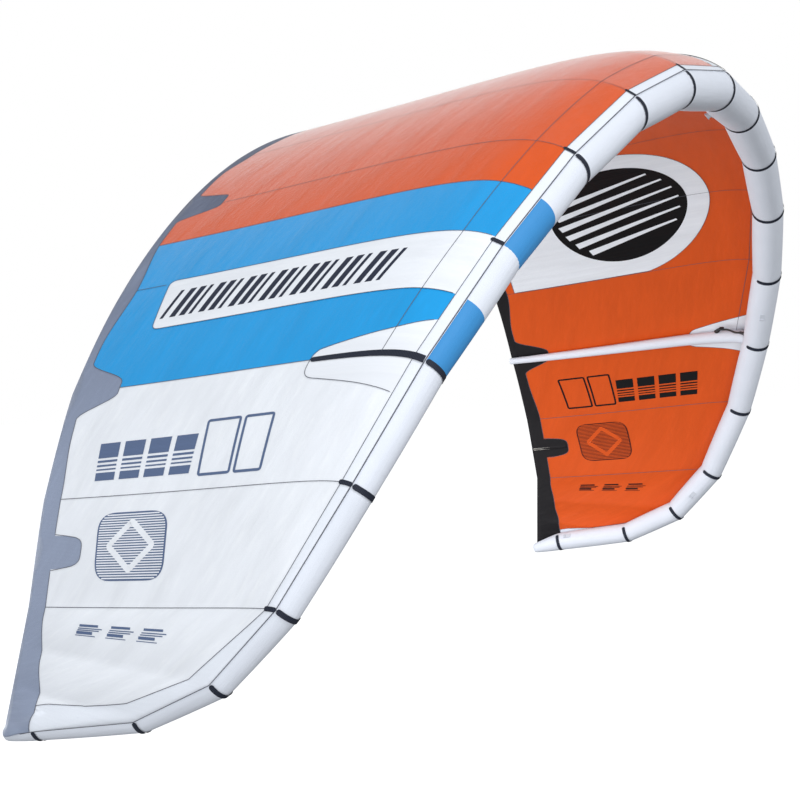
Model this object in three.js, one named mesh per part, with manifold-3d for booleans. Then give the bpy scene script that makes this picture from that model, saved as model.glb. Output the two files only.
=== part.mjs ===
// Inflatable leading-edge kitesurf kite of the 13 m2 size.
// Millimetres. +X runs to the right wing tip, +Y from the leading edge to the trailing edge,
// +Z up. The origin is the centre of the leading-edge tube, where the bridle carries the kite.
import * as THREE from 'three';
import { mergeVertices } from 'three/addons/utils/BufferGeometryUtils.js';
import Module from 'manifold-3d';

const wasm = await Module();
wasm.setup();

// ---- Leading-edge tube: straight panels joined at stitched seams, centre to tip ----
const PANEL_LENGTHS = [570, 570, 570, 570, 550, 505, 490, 360, 360, 465, 175];
const PANEL_SWEEPS = [2.5, 5, 8.5, 13, 18, 21.5, 29, 45, 67, 83, 75];   // degrees towards +Y
const ARC_STEP = 10.8;                // degrees the arch turns down at each seam
const TUBE_RADIUS = 98;               // at the centre seam
const TUBE_TAPER = 4.2;               // radius lost from each seam to the next
const TIP_RADIUS = 30;                // at the closed tip end
const TUBE_WALL = 2;
const TUBE_SIDES = 16;
const TIP_DOME = 0.5;                 // how far the closed end bulges, in tip radii
const TIP = PANEL_LENGTHS.length;     // station number of the tip end

// ---- Ribs: chord, washout and camber against (station / TIP) squared ----
const CHORD_TERMS = [1905, -1420, -1090];      // constant, square and fourth-power terms
const WASHOUT = -9.5;                          // degrees
const LAST_FULL_RIB = 7;                       // beyond it the trailing edge runs straight to the tip
const TIP_RIB_PLACES = { 8: 0.3, 9: 0.6, 10: 0.86, 11: 1 };   // along that straight trailing edge
const LEAVE_ANGLE = [130, -54];                // degrees round the tube where the cloth leaves it
const LIFT = [0.18, -0.39];                    // front control handle, fraction of chord
const LEAST_LIFT = 0.02;
const TAIL_ANGLE = [5.1, -13.6];               // degrees of camber at the trailing edge
const TAIL_HANDLE = 0.7;                       // rear control handle, fraction of chord
const BAY_BULGE = 13;                          // cloth balloons outward between two seams
const BULGE_FADES = [0.15, 0.75];              // it dies out ahead of and behind these fractions

// ---- Cloth ----
const CLOTH = 3;
const CLOTH_GAP = 2.5;                // to the tube it is sewn along
const GAP_GROWTH = 0.4;               // more of that gap at each seam towards the tip
const BAY_INSET = 0.002;              // gap between neighbouring panels, in bays
const BAND_WIDTH = 70;                // reinforced trailing-edge band
const WIDEST_BAND = 0.45;             // share of the chord it never passes
const CLOTH_END = 9.8;                // station where the cloth corner ends at the tip
const CLOTH_ROWS = 12;                // from the leading edge back to the band
const ROW_CROWDING = 1.3;             // over 1 brings the rows closer together at the front
const PANEL_RIBS = { centre: [0, 3], shoulder: [3, 5], wing: [5, 7], tip: [7, CLOTH_END] };

// ---- Struts ----
const STRUT_STATION = 5;
const STRUT_RADII = [40, 20];         // front end, rear end
const STRUT_WALL = 1.5;
const STRUT_BLADDER = { clearance: 2, wall: 1.2, frontGap: 6, endGap: 2 };
const STRUT_SIDES = 12;
const STRUT_STEPS = 10;
const RIB_STEPS = 400;                // steps along a rib when a place on it is looked for
const STRUT_OVERHANG = 14;            // past the trailing edge
const STRUT_SEAT = 0.6;               // height of the front end on the tube, in tube radii
const STRUT_CLEARANCE = 3;            // its front end starts this far behind the tube
const STRUT_CAP = 8;                  // length of its closed rear end
const FAIRING_REACH = 0.35;           // strut hangs below the cloth over this share of the chord

// ---- Bladders, hoses, clamps, valves, battens, tabs ----
const BLADDER_CLEARANCE = 3.5;
const BLADDER_WALL = 1.5;
const BLADDER_SIDES = 12;
const BLADDER_NOSE = 0.3;             // how far its end bulges, in tip radii
const HOSE = {
  radius: 6, offset: 75, reach: 135, standOff: 5, strutGap: 7, straight: 34, handle: 0.42,
  sides: 8, steps: 18,
};
const CLAMP = { length: 26, width: 16, height: 5, leverWidth: 10, leverHeight: 3, gap: 0.4, seat: 1 };
const VALVE = {
  flange: 25, flangeHeight: 2, neck: 15, bore: 8, height: 14, capHeight: 5, capRim: 3,
  plug: 7, plugDepth: 4,
};
const VALVE_SIDES = 20;
const VALVE_HOLE = 2;                 // the casing's hole is this much wider than the bore
const DRILL = { length: 60, sides: 16 };
const DUMP_SCALE = 1.25;
const INFLATE_VALVE = { panel: 0, place: 0.45, angle: -35 };      // degrees round the tube
const DUMP_VALVE = { panel: 6, place: 0.5, angle: -75 };
const BATTEN = { stations: [3, 6.5], length: 200, width: 12, height: 2.5, inset: 12, steps: 4 };
const STEP = 0.01;                    // in stations or fractions, to read a direction off the cloth
const TAB = { width: 24, length: 46, thickness: 3, barHeight: 7, barLength: 12 };
const TAB_SITES = {
  bridle_tab_1: { panel: 4, place: 0.5, angle: -100 },
  bridle_tab_2: { panel: 7, place: 0.5, angle: -100 },
  rear_line_tab: { panel: 9, place: 0.85, angle: -70 },
};
const GAP = 0.3;
const WELD = 1e-4;                    // corners nearer than this are one

const X = new THREE.Vector3(1, 0, 0);
const Y = new THREE.Vector3(0, 1, 0);
const radians = THREE.MathUtils.degToRad;
const range = (count) => [...Array(count).keys()];
const along = (origin, ...terms) => terms.reduce(
  (point, [direction, distance]) => point.addScaledVector(direction, distance), origin.clone());
const squareLaw = ([base, slope], station) => base + slope * (station / TIP) ** 2;

// ---------------------------------------------------------------- geometry of the kite

function archDirections(angle) {
  return {
    span: new THREE.Vector3(Math.cos(angle), 0, -Math.sin(angle)),
    out: new THREE.Vector3(Math.sin(angle), 0, Math.cos(angle)),
  };
}

const panels = range(TIP).map((i) => {
  const sweep = radians(PANEL_SWEEPS[i]);
  const { span } = archDirections(radians(ARC_STEP) * (i + 0.5));
  return {
    sweep,
    direction: along(new THREE.Vector3(), [span, Math.cos(sweep)], [Y, Math.sin(sweep)]),
  };
});

function tubeRadius(station) {
  return station === TIP ? TIP_RADIUS : TUBE_RADIUS - TUBE_TAPER * station;
}

// One station: the seam's centre, the tube's frame there (along, towards the cloth, outward)
// and the rib's frame (chord, outward).
function makeStation(j, centre) {
  const { span, out } = archDirections(radians(ARC_STEP) * j);
  const before = panels[Math.max(j - 1, 0)];
  const after = panels[Math.min(j, TIP - 1)];
  const tube = j === 0 ? X.clone() : before.direction.clone().add(after.direction).normalize();
  const sweep = j === 0 ? 0 : (before.sweep + after.sweep) / 2;
  const washout = radians(WASHOUT) * (j / TIP) ** 2;
  const chord = along(new THREE.Vector3(), [Y, Math.cos(washout)], [out, Math.sin(washout)]);
  const clothSide = along(new THREE.Vector3(), [chord, Math.cos(sweep)], [span, -Math.sin(sweep)]);
  clothSide.addScaledVector(tube, -clothSide.dot(tube)).normalize();
  return {
    j, centre, span, out, tube, chord, clothSide,
    tubeOut: tube.clone().cross(clothSide),
    radius: tubeRadius(j),
    leave: radians(squareLaw(LEAVE_ANGLE, j)),
  };
}

const onTube = (s, angle, radius) => along(s.centre,
  [s.clothSide, radius * Math.cos(angle)], [s.tubeOut, radius * Math.sin(angle)]);

function makeStations() {
  const centre = new THREE.Vector3();
  const stations = range(TIP + 1).map((j) => {
    if (j > 0) centre.addScaledVector(panels[j - 1].direction, PANEL_LENGTHS[j - 1]);
    return makeStation(j, centre.clone());
  });
  for (const s of stations) s.front = onTube(s, s.leave, s.radius + CLOTH_GAP);
  for (const s of stations.slice(0, LAST_FULL_RIB + 1)) {
    const square = (s.j / TIP) ** 2;
    const length = CHORD_TERMS[0] + CHORD_TERMS[1] * square + CHORD_TERMS[2] * square ** 2;
    s.rear = along(s.centre, [s.chord, length]);
  }
  for (const s of stations.slice(LAST_FULL_RIB + 1)) {
    s.rear = stations[LAST_FULL_RIB].rear.clone().lerp(stations[TIP].front, TIP_RIB_PLACES[s.j]);
  }
  return stations;
}

const stations = makeStations();

// The cloth's line over one rib, as a curve that is read by its length.
const ribCurves = stations.map((s) => {
  const length = s.rear.distanceTo(s.centre);
  const leaving = along(new THREE.Vector3(),
    [s.clothSide, Math.sin(s.leave)], [s.tubeOut, -Math.cos(s.leave)]);
  const lift = Math.max(squareLaw(LIFT, s.j), LEAST_LIFT) * length;
  const tail = Math.sin(radians(Math.max(squareLaw(TAIL_ANGLE, s.j), 0)));
  const curve = new THREE.CubicBezierCurve3(
    s.front,
    along(s.front, [leaving, lift]),
    s.rear.clone().lerp(s.front, TAIL_HANDLE).addScaledVector(s.out, TAIL_HANDLE * length * tail),
    s.rear);
  curve.arcLengthDivisions = 100;
  return curve;
});

function clothPoint(station, fraction) {
  const j = Math.min(Math.floor(station), TIP - 1);
  const across = station - j;
  const point = ribCurves[j].getPointAt(fraction)
    .lerp(ribCurves[j + 1].getPointAt(fraction), across);
  const out = stations[j].out.clone().lerp(stations[j + 1].out, across).normalize();
  const loose = THREE.MathUtils.smoothstep(fraction, 0, BULGE_FADES[0])
    * (1 - THREE.MathUtils.smoothstep(fraction, BULGE_FADES[1], 1));
  point.addScaledVector(out, BAY_BULGE * 4 * across * (1 - across) * loose);
  return clearOfTube(point);
}

// Pushes a cloth point straight out of the leading edge if it would sink into it.
function clearOfTube(point) {
  for (const i of range(TIP)) {
    const [from, to] = [stations[i], stations[i + 1]];
    const nearest = new THREE.Vector3();
    const axis = new THREE.Line3(from.centre, to.centre);
    const place = axis.closestPointToPointParameter(point, true);
    axis.at(place, nearest);
    const needed = THREE.MathUtils.lerp(from.radius, to.radius, place)
      + CLOTH_GAP + i * GAP_GROWTH;
    const away = point.clone().sub(nearest);
    if (away.length() < needed) point.copy(nearest).addScaledVector(away.normalize(), needed);
  }
  return point;
}

function ribLength(station) {
  return clothPoint(station, 1).distanceTo(clothPoint(station, 0));
}

const bandStart = (station) => 1 - Math.min(BAND_WIDTH / ribLength(station), WIDEST_BAND);

// ---------------------------------------------------------------- closed meshes

function volumeOf(points, faces) {
  return faces.reduce((sum, [a, b, c]) =>
    sum + points[a].dot(points[b].clone().cross(points[c])), 0);
}

function solid(points, faces) {
  const outward = volumeOf(points, faces) > 0;
  const geometry = new THREE.BufferGeometry();
  geometry.setAttribute('position',
    new THREE.Float32BufferAttribute(points.flatMap((p) => p.toArray()), 3));
  geometry.setIndex(faces.flatMap(([a, b, c]) => (outward ? [a, b, c] : [a, c, b])));
  geometry.computeVertexNormals();
  return geometry;
}

// Joins rings of equal size, in order, into one skin; a ring of one point is an apex. A closed
// chain joins the last ring to the first.
function skin(rings, closed) {
  const points = rings.flat();
  const starts = rings.map((_, i) => rings.slice(0, i).reduce((n, ring) => n + ring.length, 0));
  const faces = [];
  for (const i of range(closed ? rings.length : rings.length - 1)) {
    const k = (i + 1) % rings.length;
    const size = Math.max(rings[i].length, rings[k].length);
    const at = (ring, n) => starts[ring] + (rings[ring].length === 1 ? 0 : n % size);
    for (const n of range(size === 1 ? 0 : size)) {
      if (rings[i].length > 1) faces.push([at(i, n), at(i, n + 1), at(k, n)]);
      if (rings[k].length > 1) faces.push([at(i, n + 1), at(k, n + 1), at(k, n)]);
    }
  }
  return solid(points, faces);
}

// A sheet over a grid of points, thickened along the grid's normals.
function sheet(grid, thickness) {
  const rows = grid.length;
  const columns = grid[0].length;
  const pick = (r, c) => grid[Math.min(Math.max(r, 0), rows - 1)][Math.min(Math.max(c, 0), columns - 1)];
  const lifted = grid.map((row, r) => row.map((point, c) => {
    const down = pick(r + 1, c).clone().sub(pick(r - 1, c));
    const right = pick(r, c + 1).clone().sub(pick(r, c - 1));
    return along(point, [down.cross(right).normalize(), thickness]);
  }));
  const loops = range(rows).map((r) => [...grid[r], ...lifted[r].slice().reverse()]);
  const geometryPoints = loops.flat();
  const size = 2 * columns;
  const faces = [];
  for (const r of range(rows - 1)) {
    for (const c of range(size)) {
      const [a, b] = [r * size + c, r * size + (c + 1) % size];
      const [e, f] = [a + size, b + size];
      // Both sides are split along the same diagonal, so twisted cloth keeps its thickness.
      if (c < columns) faces.push([a, e, b], [b, e, f]);
      else faces.push([a, e, f], [a, f, b]);
    }
  }
  for (const c of range(columns - 1)) {
    for (const [r, flip] of [[0, false], [rows - 1, true]]) {
      const a = r * size + c;
      const b = a + 1;
      const e = r * size + (size - 1 - c);
      const f = e - 1;
      faces.push(flip ? [a, e, b] : [a, b, e], flip ? [b, e, f] : [b, f, e]);
    }
  }
  return solid(geometryPoints, faces);
}

const circle = (count, place) => range(count).map((n) => place((2 * Math.PI * n) / count));

function mirrored(geometry) {
  const copy = geometry.clone();
  copy.applyMatrix4(new THREE.Matrix4().makeScale(-1, 1, 1));
  const index = copy.getIndex();
  for (let i = 0; i < index.count; i += 3) {
    const second = index.getX(i + 1);
    index.setX(i + 1, index.getX(i + 2));
    index.setX(i + 2, second);
  }
  copy.computeVertexNormals();
  return copy;
}

// The same faces with shared corners and nothing but positions.
function welded(geometry) {
  const bare = geometry.clone();
  for (const attribute of ['normal', 'uv']) bare.deleteAttribute(attribute);
  return mergeVertices(bare, WELD);
}

function toManifold(geometry) {
  const merged = welded(geometry);
  return new wasm.Manifold(new wasm.Mesh({
    numProp: 3,
    vertProperties: new Float32Array(merged.getAttribute('position').array),
    triVerts: new Uint32Array(merged.getIndex().array),
  }));
}

function fromManifold(manifold) {
  const mesh = manifold.getMesh();
  const geometry = new THREE.BufferGeometry();
  geometry.setAttribute('position', new THREE.BufferAttribute(mesh.vertProperties, 3));
  geometry.setIndex(new THREE.BufferAttribute(mesh.triVerts, 1));
  geometry.computeVertexNormals();
  return geometry;
}

const subtract = (body, ...cutters) => fromManifold(
  cutters.reduce((left, cutter) => left.subtract(toManifold(cutter)), toManifold(body)));

// ---------------------------------------------------------------- materials and assembly

const fabric = (color, roughness) => new THREE.MeshStandardMaterial({ color, roughness });
const dacron = fabric(0xe6eaf2, 0.55);
const bladderFilm = fabric(0xd9dde2, 0.35);
const orange = fabric(0xdd5a26, 0.5);
const blue = fabric(0x269be0, 0.5);
const white = fabric(0xeef1f6, 0.5);
const leftColours = { centre: orange, shoulder: blue, wing: white, tip: white };
const bandCloth = fabric(0x232226, 0.6);
const webbing = fabric(0x15161a, 0.8);
const hoseRubber = fabric(0x101012, 0.5);
const plastic = fabric(0x1b1c20, 0.4);
const fibreglass = fabric(0xe0dfd8, 0.45);

const kite = new THREE.Group();

function add(name, geometry, material, frame) {
  const mesh = new THREE.Mesh(geometry, material);
  mesh.name = name;
  if (frame) mesh.applyMatrix4(frame);
  kite.add(mesh);
}

function addPair(name, geometry, rightMaterial, leftMaterial = rightMaterial) {
  add(`${name}_R`, geometry, rightMaterial);
  add(`${name}_L`, mirrored(geometry), leftMaterial);
}

function frameOf(position, side, up) {
  const forward = up.clone().cross(side).normalize();
  const across = forward.clone().cross(up).normalize();
  return new THREE.Matrix4().makeBasis(across, forward, up.clone().normalize())
    .setPosition(position);
}

// ---------------------------------------------------------------- leading edge

const tubeRing = (s, radius, shift = 0, sides = TUBE_SIDES) => circle(sides, (angle) =>
  along(onTube(s, angle, radius), [s.tube, shift]));

// A place on a leading-edge panel: a share of its length, and degrees round from the cloth side.
function tubeSite({ panel, place, angle }) {
  const [from, to] = [stations[panel], stations[panel + 1]];
  const turn = radians(angle);
  const centre = from.centre.clone().lerp(to.centre, place);
  const radius = THREE.MathUtils.lerp(from.radius, to.radius, place);
  const clothSide = from.clothSide.clone().lerp(to.clothSide, place).normalize();
  const tubeOut = from.tubeOut.clone().lerp(to.tubeOut, place).normalize();
  const normal = along(new THREE.Vector3(), [clothSide, Math.cos(turn)], [tubeOut, Math.sin(turn)]);
  const axis = to.centre.clone().sub(from.centre).normalize();
  normal.addScaledVector(axis, -normal.dot(axis)).normalize();
  return { normal, axis, surface: along(centre, [normal, radius + GAP]) };
}

const inflateSite = tubeSite(INFLATE_VALVE);
const dumpSite = tubeSite(DUMP_VALVE);

function drill(site, radius) {
  const cutter = new THREE.CylinderGeometry(radius, radius, DRILL.length, DRILL.sides);
  cutter.rotateX(Math.PI / 2);
  cutter.applyMatrix4(frameOf(site.surface, site.axis, site.normal));
  return cutter;
}

function panelTube(i) {
  const [from, to] = [stations[i], stations[i + 1]];
  const ring = (s, inset, shift) => tubeRing(s, s.radius - inset, shift);
  return skin([
    ring(from, 0, GAP / 2), ring(to, 0, -GAP / 2),
    ring(to, TUBE_WALL, -GAP / 2), ring(from, TUBE_WALL, GAP / 2),
  ], true);
}

// The last panel and the closed tip end are one piece of cloth.
function tipTube() {
  const [from, seam, end] = stations.slice(TIP - 2);
  const apex = along(end.centre, [end.tube, TIP_RADIUS * TIP_DOME]);
  const inner = (s) => tubeRing(s, s.radius - TUBE_WALL);
  return skin([
    tubeRing(from, from.radius, GAP / 2), tubeRing(seam, seam.radius),
    tubeRing(end, end.radius), [apex],
    [along(apex, [end.tube, -TUBE_WALL])], inner(end), inner(seam),
    tubeRing(from, from.radius - TUBE_WALL, GAP / 2),
  ], true);
}

for (const i of range(TIP - 2)) {
  const body = panelTube(i);
  const hole = VALVE.bore + VALVE_HOLE;
  const right = i === INFLATE_VALVE.panel ? subtract(body, drill(inflateSite, hole)) : body;
  const left = i === DUMP_VALVE.panel ? subtract(body, drill(dumpSite, hole * DUMP_SCALE)) : body;
  add(`le_panel_${i + 1}_R`, right, dacron);
  add(`le_panel_${i + 1}_L`, mirrored(left), dacron);
}
addPair('le_tip', tipTube(), dacron);

// One air bladder runs through the whole leading edge, with a hole under each valve.
function bladderSolid(inset) {
  const flip = new THREE.Vector3(-1, 1, 1);
  const ring = (s) => tubeRing(s, s.radius - TUBE_WALL - BLADDER_CLEARANCE - inset,
    0, BLADDER_SIDES);
  const end = stations[TIP];
  const nose = along(end.centre, [end.tube, TIP_RADIUS * BLADDER_NOSE - inset]);
  const right = [...stations.map(ring), [nose]];
  const left = right.slice(1).reverse().map((points) => points.map((p) => p.clone().multiply(flip)));
  return skin([...left, ...right], false);
}

const mirrorSite = (site) => ({
  surface: site.surface.clone().multiply(new THREE.Vector3(-1, 1, 1)),
  axis: site.axis.clone().multiply(new THREE.Vector3(1, -1, -1)),
  normal: site.normal.clone().multiply(new THREE.Vector3(-1, 1, 1)),
});
const dumpSiteLeft = mirrorSite(dumpSite);

add('le_bladder', subtract(bladderSolid(0), bladderSolid(BLADDER_WALL),
  drill(inflateSite, VALVE.bore), drill(dumpSiteLeft, VALVE.bore * DUMP_SCALE)), bladderFilm);

// ---------------------------------------------------------------- cloth

// Cloth points over every seam and every middle of a bay between two stations.
function clothGrid(from, to, fractions) {
  const between = range(2 * TIP).map((n) => n / 2).filter((half) => half > from && half < to);
  const places = [from + BAY_INSET, ...between, to - BAY_INSET];
  return places.map((station) =>
    fractions(station).map((fraction) => clothPoint(station, fraction)));
}

const panelFractions = (station) => {
  const end = bandStart(station) - 2 * GAP / ribLength(station);
  return range(CLOTH_ROWS + 1).map((n) => end * (n / CLOTH_ROWS) ** ROW_CROWDING);
};
const bandFractions = (station) => {
  const start = bandStart(station);
  return [start, (1 + start) / 2, 1];
};

for (const [name, [from, to]] of Object.entries(PANEL_RIBS)) {
  const grid = clothGrid(from, to, panelFractions);
  addPair(`canopy_${name}`, sheet(grid, CLOTH), orange, leftColours[name]);
}
addPair('te_band', sheet(clothGrid(0, CLOTH_END, bandFractions), CLOTH), bandCloth);

// ---------------------------------------------------------------- struts

// Strut sections: their centres hang under the rib's cloth and dip to the tube at the front.
function strutSections(station) {
  const s = stations[station];
  const place = (fraction) => {
    const here = ribCurves[station].getPointAt(fraction);
    const forward = ribCurves[station].getTangentAt(fraction);
    return { here, forward, up: s.span.clone().cross(forward).normalize() };
  };
  const height = (point) => point.clone().sub(s.centre).dot(s.out);
  const distance = (point) => point.clone().sub(s.centre).dot(s.chord);
  const radiusAt = (fraction) => THREE.MathUtils.lerp(...STRUT_RADII, fraction);
  const first = range(RIB_STEPS).map((n) => n / RIB_STEPS)
    .find((fraction) => distance(place(fraction).here) > s.radius + STRUT_CLEARANCE);
  const dip = height(place(first).here) - radiusAt(first) - CLOTH_GAP - STRUT_SEAT * s.radius;
  const sections = range(STRUT_STEPS + 1).map((n) => {
    const fraction = THREE.MathUtils.lerp(first, 1, n / STRUT_STEPS);
    const { here, forward, up } = place(fraction);
    const fade = Math.max(1 - (fraction - first) / FAIRING_REACH, 0) ** 2;
    const drop = radiusAt(fraction) + CLOTH_GAP + Math.max(dip, 0) * fade;
    return { radius: radiusAt(fraction), centre: along(here, [up, -drop]), forward, up };
  });
  const last = sections[sections.length - 1];
  sections.push({ ...last, centre: along(last.centre, [last.forward, STRUT_OVERHANG]) });
  return { span: s.span, sections };
}

const strutRing = (strut, section, inset, shift = 0) => circle(STRUT_SIDES, (angle) =>
  along(section.centre, [strut.span, (section.radius - inset) * Math.cos(angle)],
    [section.up, (section.radius - inset) * Math.sin(angle)], [section.forward, shift]));

function strutTube(strut, inset, wall, frontShift, endShift) {
  const { sections } = strut;
  const last = sections[sections.length - 1];
  const outer = sections.map((section, n) => strutRing(strut, section, inset,
    n === 0 ? frontShift : 0));
  const inner = sections.map((section, n) => strutRing(strut, section, inset + wall,
    n === 0 ? frontShift : 0)).reverse();
  const cap = (back) => [along(last.centre, [last.forward, endShift - back])];
  return skin([...outer, cap(0), cap(wall), ...inner], true);
}

// ---------------------------------------------------------------- hoses and clamps

// The hose leaves the tube rearwards, swings over in an S and ends straight along the strut's side.
function hoseRoute(strut, station) {
  const s = stations[station];
  const { centre, forward, radius } = strut.sections[0];
  const inward = strut.span.clone().multiplyScalar(-1);
  const start = along(s.centre, [inward, HOSE.offset], [s.chord, s.radius + HOSE.standOff]);
  const end = along(centre, [forward, HOSE.reach], [inward, radius + HOSE.radius + HOSE.strutGap]);
  const join = along(end, [forward, -HOSE.straight]);
  const handle = HOSE.handle * join.distanceTo(start);
  const route = new THREE.CurvePath();
  route.add(new THREE.CubicBezierCurve3(
    start, along(start, [s.chord, handle]), along(join, [forward, -handle]), join));
  route.add(new THREE.LineCurve3(join, end));
  return { route, end, forward, inward };
}

function addHose(name, strut, station, side) {
  const { route, end, forward, inward } = hoseRoute(strut, station);
  const outline = new THREE.Shape(circle(HOSE.sides, (angle) => new THREE.Vector2(
    HOSE.radius * Math.cos(angle), HOSE.radius * Math.sin(angle))));
  const hose = new THREE.ExtrudeGeometry(outline,
    { steps: HOSE.steps, bevelEnabled: false, extrudePath: route });
  const middle = along(end, [forward, -HOSE.straight / 2]);
  const up = inward.clone().addScaledVector(forward, -inward.dot(forward)).normalize();
  const across = up.clone().cross(forward).normalize();
  const place = new THREE.Matrix4().makeBasis(forward, across, up)
    .setPosition(along(middle, [up, HOSE.radius + CLAMP.seat]));
  const body = new THREE.BoxGeometry(CLAMP.length, CLAMP.width, CLAMP.height);
  body.translate(0, 0, CLAMP.height / 2);
  const lever = new THREE.BoxGeometry(CLAMP.length, CLAMP.leverWidth, CLAMP.leverHeight);
  lever.translate(0, 0, CLAMP.height + CLAMP.gap + CLAMP.leverHeight / 2);
  for (const part of [body, lever]) part.applyMatrix4(place);
  const pieces = [['hose', hose, hoseRubber], ['clamp_body', body, plastic], ['clamp_lever', lever, plastic]];
  for (const [piece, geometry, material] of pieces) {
    const closed = welded(geometry);
    add(`${piece}_${name}`, side < 0 ? mirrored(closed) : closed, material);
  }
}

for (const [name, station, side] of [['C', 0, 1], ['R', STRUT_STATION, 1], ['L', STRUT_STATION, -1]]) {
  const strut = strutSections(station);
  const turn = side < 0 ? mirrored : (geometry) => geometry;
  const { clearance, wall, frontGap, endGap } = STRUT_BLADDER;
  const bladder = strutTube(strut, STRUT_WALL + clearance, wall, frontGap, endGap);
  add(`strut_${name}`, turn(strutTube(strut, 0, STRUT_WALL, 0, STRUT_CAP)), dacron);
  add(`strut_bladder_${name}`, turn(bladder), bladderFilm);
  addHose(name, strut, station, side);
}

// ---------------------------------------------------------------- valves

function addValve(name, site, scale) {
  const v = Object.fromEntries(Object.entries(VALVE).map(([key, value]) => [key, value * scale]));
  const lathe = (outline) => {
    const points = outline.map(([x, y]) => new THREE.Vector2(x, y));
    const geometry = new THREE.LatheGeometry(points, VALVE_SIDES);
    geometry.rotateX(Math.PI / 2);
    return welded(geometry);
  };
  const top = v.flangeHeight + v.height;
  const base = lathe([[v.bore, 0], [v.flange, 0], [v.flange, v.flangeHeight],
    [v.neck, v.flangeHeight], [v.neck, top], [v.bore, top], [v.bore, 0]]);
  const capBottom = top + GAP;
  const plugEnd = top - VALVE.plugDepth;
  const rim = v.neck + VALVE.capRim;
  const cap = lathe([[0, plugEnd], [v.plug, plugEnd], [v.plug, capBottom],
    [rim, capBottom], [rim, capBottom + v.capHeight], [0, capBottom + v.capHeight]]);
  const frame = frameOf(site.surface, site.axis, site.normal);
  add(`${name}_base`, base, plastic, frame);
  add(`${name}_cap`, cap, plastic, frame);
}

addValve('inflate_valve', inflateSite, 1);
addValve('dump_valve', dumpSiteLeft, DUMP_SCALE);

// ---------------------------------------------------------------- battens and line tabs

for (const [n, station] of BATTEN.stations.entries()) {
  const length = ribLength(station);
  const span = clothPoint(station + STEP, 1).sub(clothPoint(station - STEP, 1)).normalize();
  const sections = range(BATTEN.steps + 1).map((k) => {
    const back = BATTEN.inset + BATTEN.length * (1 - k / BATTEN.steps);
    const fraction = 1 - back / length;
    const here = clothPoint(station, fraction);
    const forward = here.clone().sub(clothPoint(station, fraction - STEP)).normalize();
    const up = span.clone().cross(forward).normalize();
    return [[-1, 0], [1, 0], [1, 1], [-1, 1]].map(([x, y]) => along(here,
      [span, x * BATTEN.width / 2], [up, -CLOTH_GAP - y * BATTEN.height]));
  });
  const middle = (ring) => [ring.reduce((sum, p) => sum.add(p), new THREE.Vector3())
    .divideScalar(ring.length)];
  const geometry = skin([middle(sections[0]), ...sections, middle(sections.at(-1))], false);
  addPair(`batten_${n + 1}`, geometry, fibreglass);
}

// A folded webbing tab with a sewn stop bar, lying against the tube; the bridle line larks round it.
function tabGeometry() {
  const profile = new THREE.Shape([[0, 0], [TAB.length, 0], [TAB.length, TAB.barHeight],
    [TAB.length - TAB.barLength, TAB.barHeight], [TAB.length - TAB.barLength, TAB.thickness],
    [0, TAB.thickness]].map(([x, y]) => new THREE.Vector2(x, y)));
  const geometry = new THREE.ExtrudeGeometry(profile, { depth: TAB.width, bevelEnabled: false });
  geometry.translate(-TAB.length / 2, 0, -TAB.width / 2);
  return welded(geometry);
}

for (const [name, where] of Object.entries(TAB_SITES)) {
  const { surface, axis, normal } = tubeSite(where);
  const geometry = tabGeometry();
  geometry.applyMatrix4(new THREE.Matrix4().makeBasis(axis, normal, axis.clone().cross(normal))
    .setPosition(along(surface, [normal, GAP])));
  addPair(name, geometry, webbing);
}

export default kite;
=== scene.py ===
"""Inflatable kitesurf kite: its look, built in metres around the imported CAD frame."""
import math

import bpy
import numpy as np
from mathutils import Matrix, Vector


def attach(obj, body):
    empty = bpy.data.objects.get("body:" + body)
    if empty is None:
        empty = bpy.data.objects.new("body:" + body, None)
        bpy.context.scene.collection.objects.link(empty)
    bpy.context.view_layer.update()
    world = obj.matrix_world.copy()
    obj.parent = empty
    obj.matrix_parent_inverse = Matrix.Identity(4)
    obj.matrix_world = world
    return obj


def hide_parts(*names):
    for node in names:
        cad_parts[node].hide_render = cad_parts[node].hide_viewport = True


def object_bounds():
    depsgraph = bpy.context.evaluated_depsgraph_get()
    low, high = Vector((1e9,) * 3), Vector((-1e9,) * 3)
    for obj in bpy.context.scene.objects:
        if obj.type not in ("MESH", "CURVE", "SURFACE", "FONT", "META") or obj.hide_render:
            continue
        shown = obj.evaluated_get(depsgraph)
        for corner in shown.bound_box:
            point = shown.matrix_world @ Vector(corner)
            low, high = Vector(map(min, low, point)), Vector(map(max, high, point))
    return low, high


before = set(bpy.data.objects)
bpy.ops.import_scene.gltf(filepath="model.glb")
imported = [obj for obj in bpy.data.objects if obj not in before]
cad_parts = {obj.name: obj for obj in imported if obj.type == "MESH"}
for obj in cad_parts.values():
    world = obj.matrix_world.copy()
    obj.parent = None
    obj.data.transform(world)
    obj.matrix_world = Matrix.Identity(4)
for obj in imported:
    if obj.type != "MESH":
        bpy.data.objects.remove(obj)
CAD_BOX = [list(map(float, corner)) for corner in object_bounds()]
BODY = "kite"

# ---- driving dimensions, as in the CAD

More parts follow.
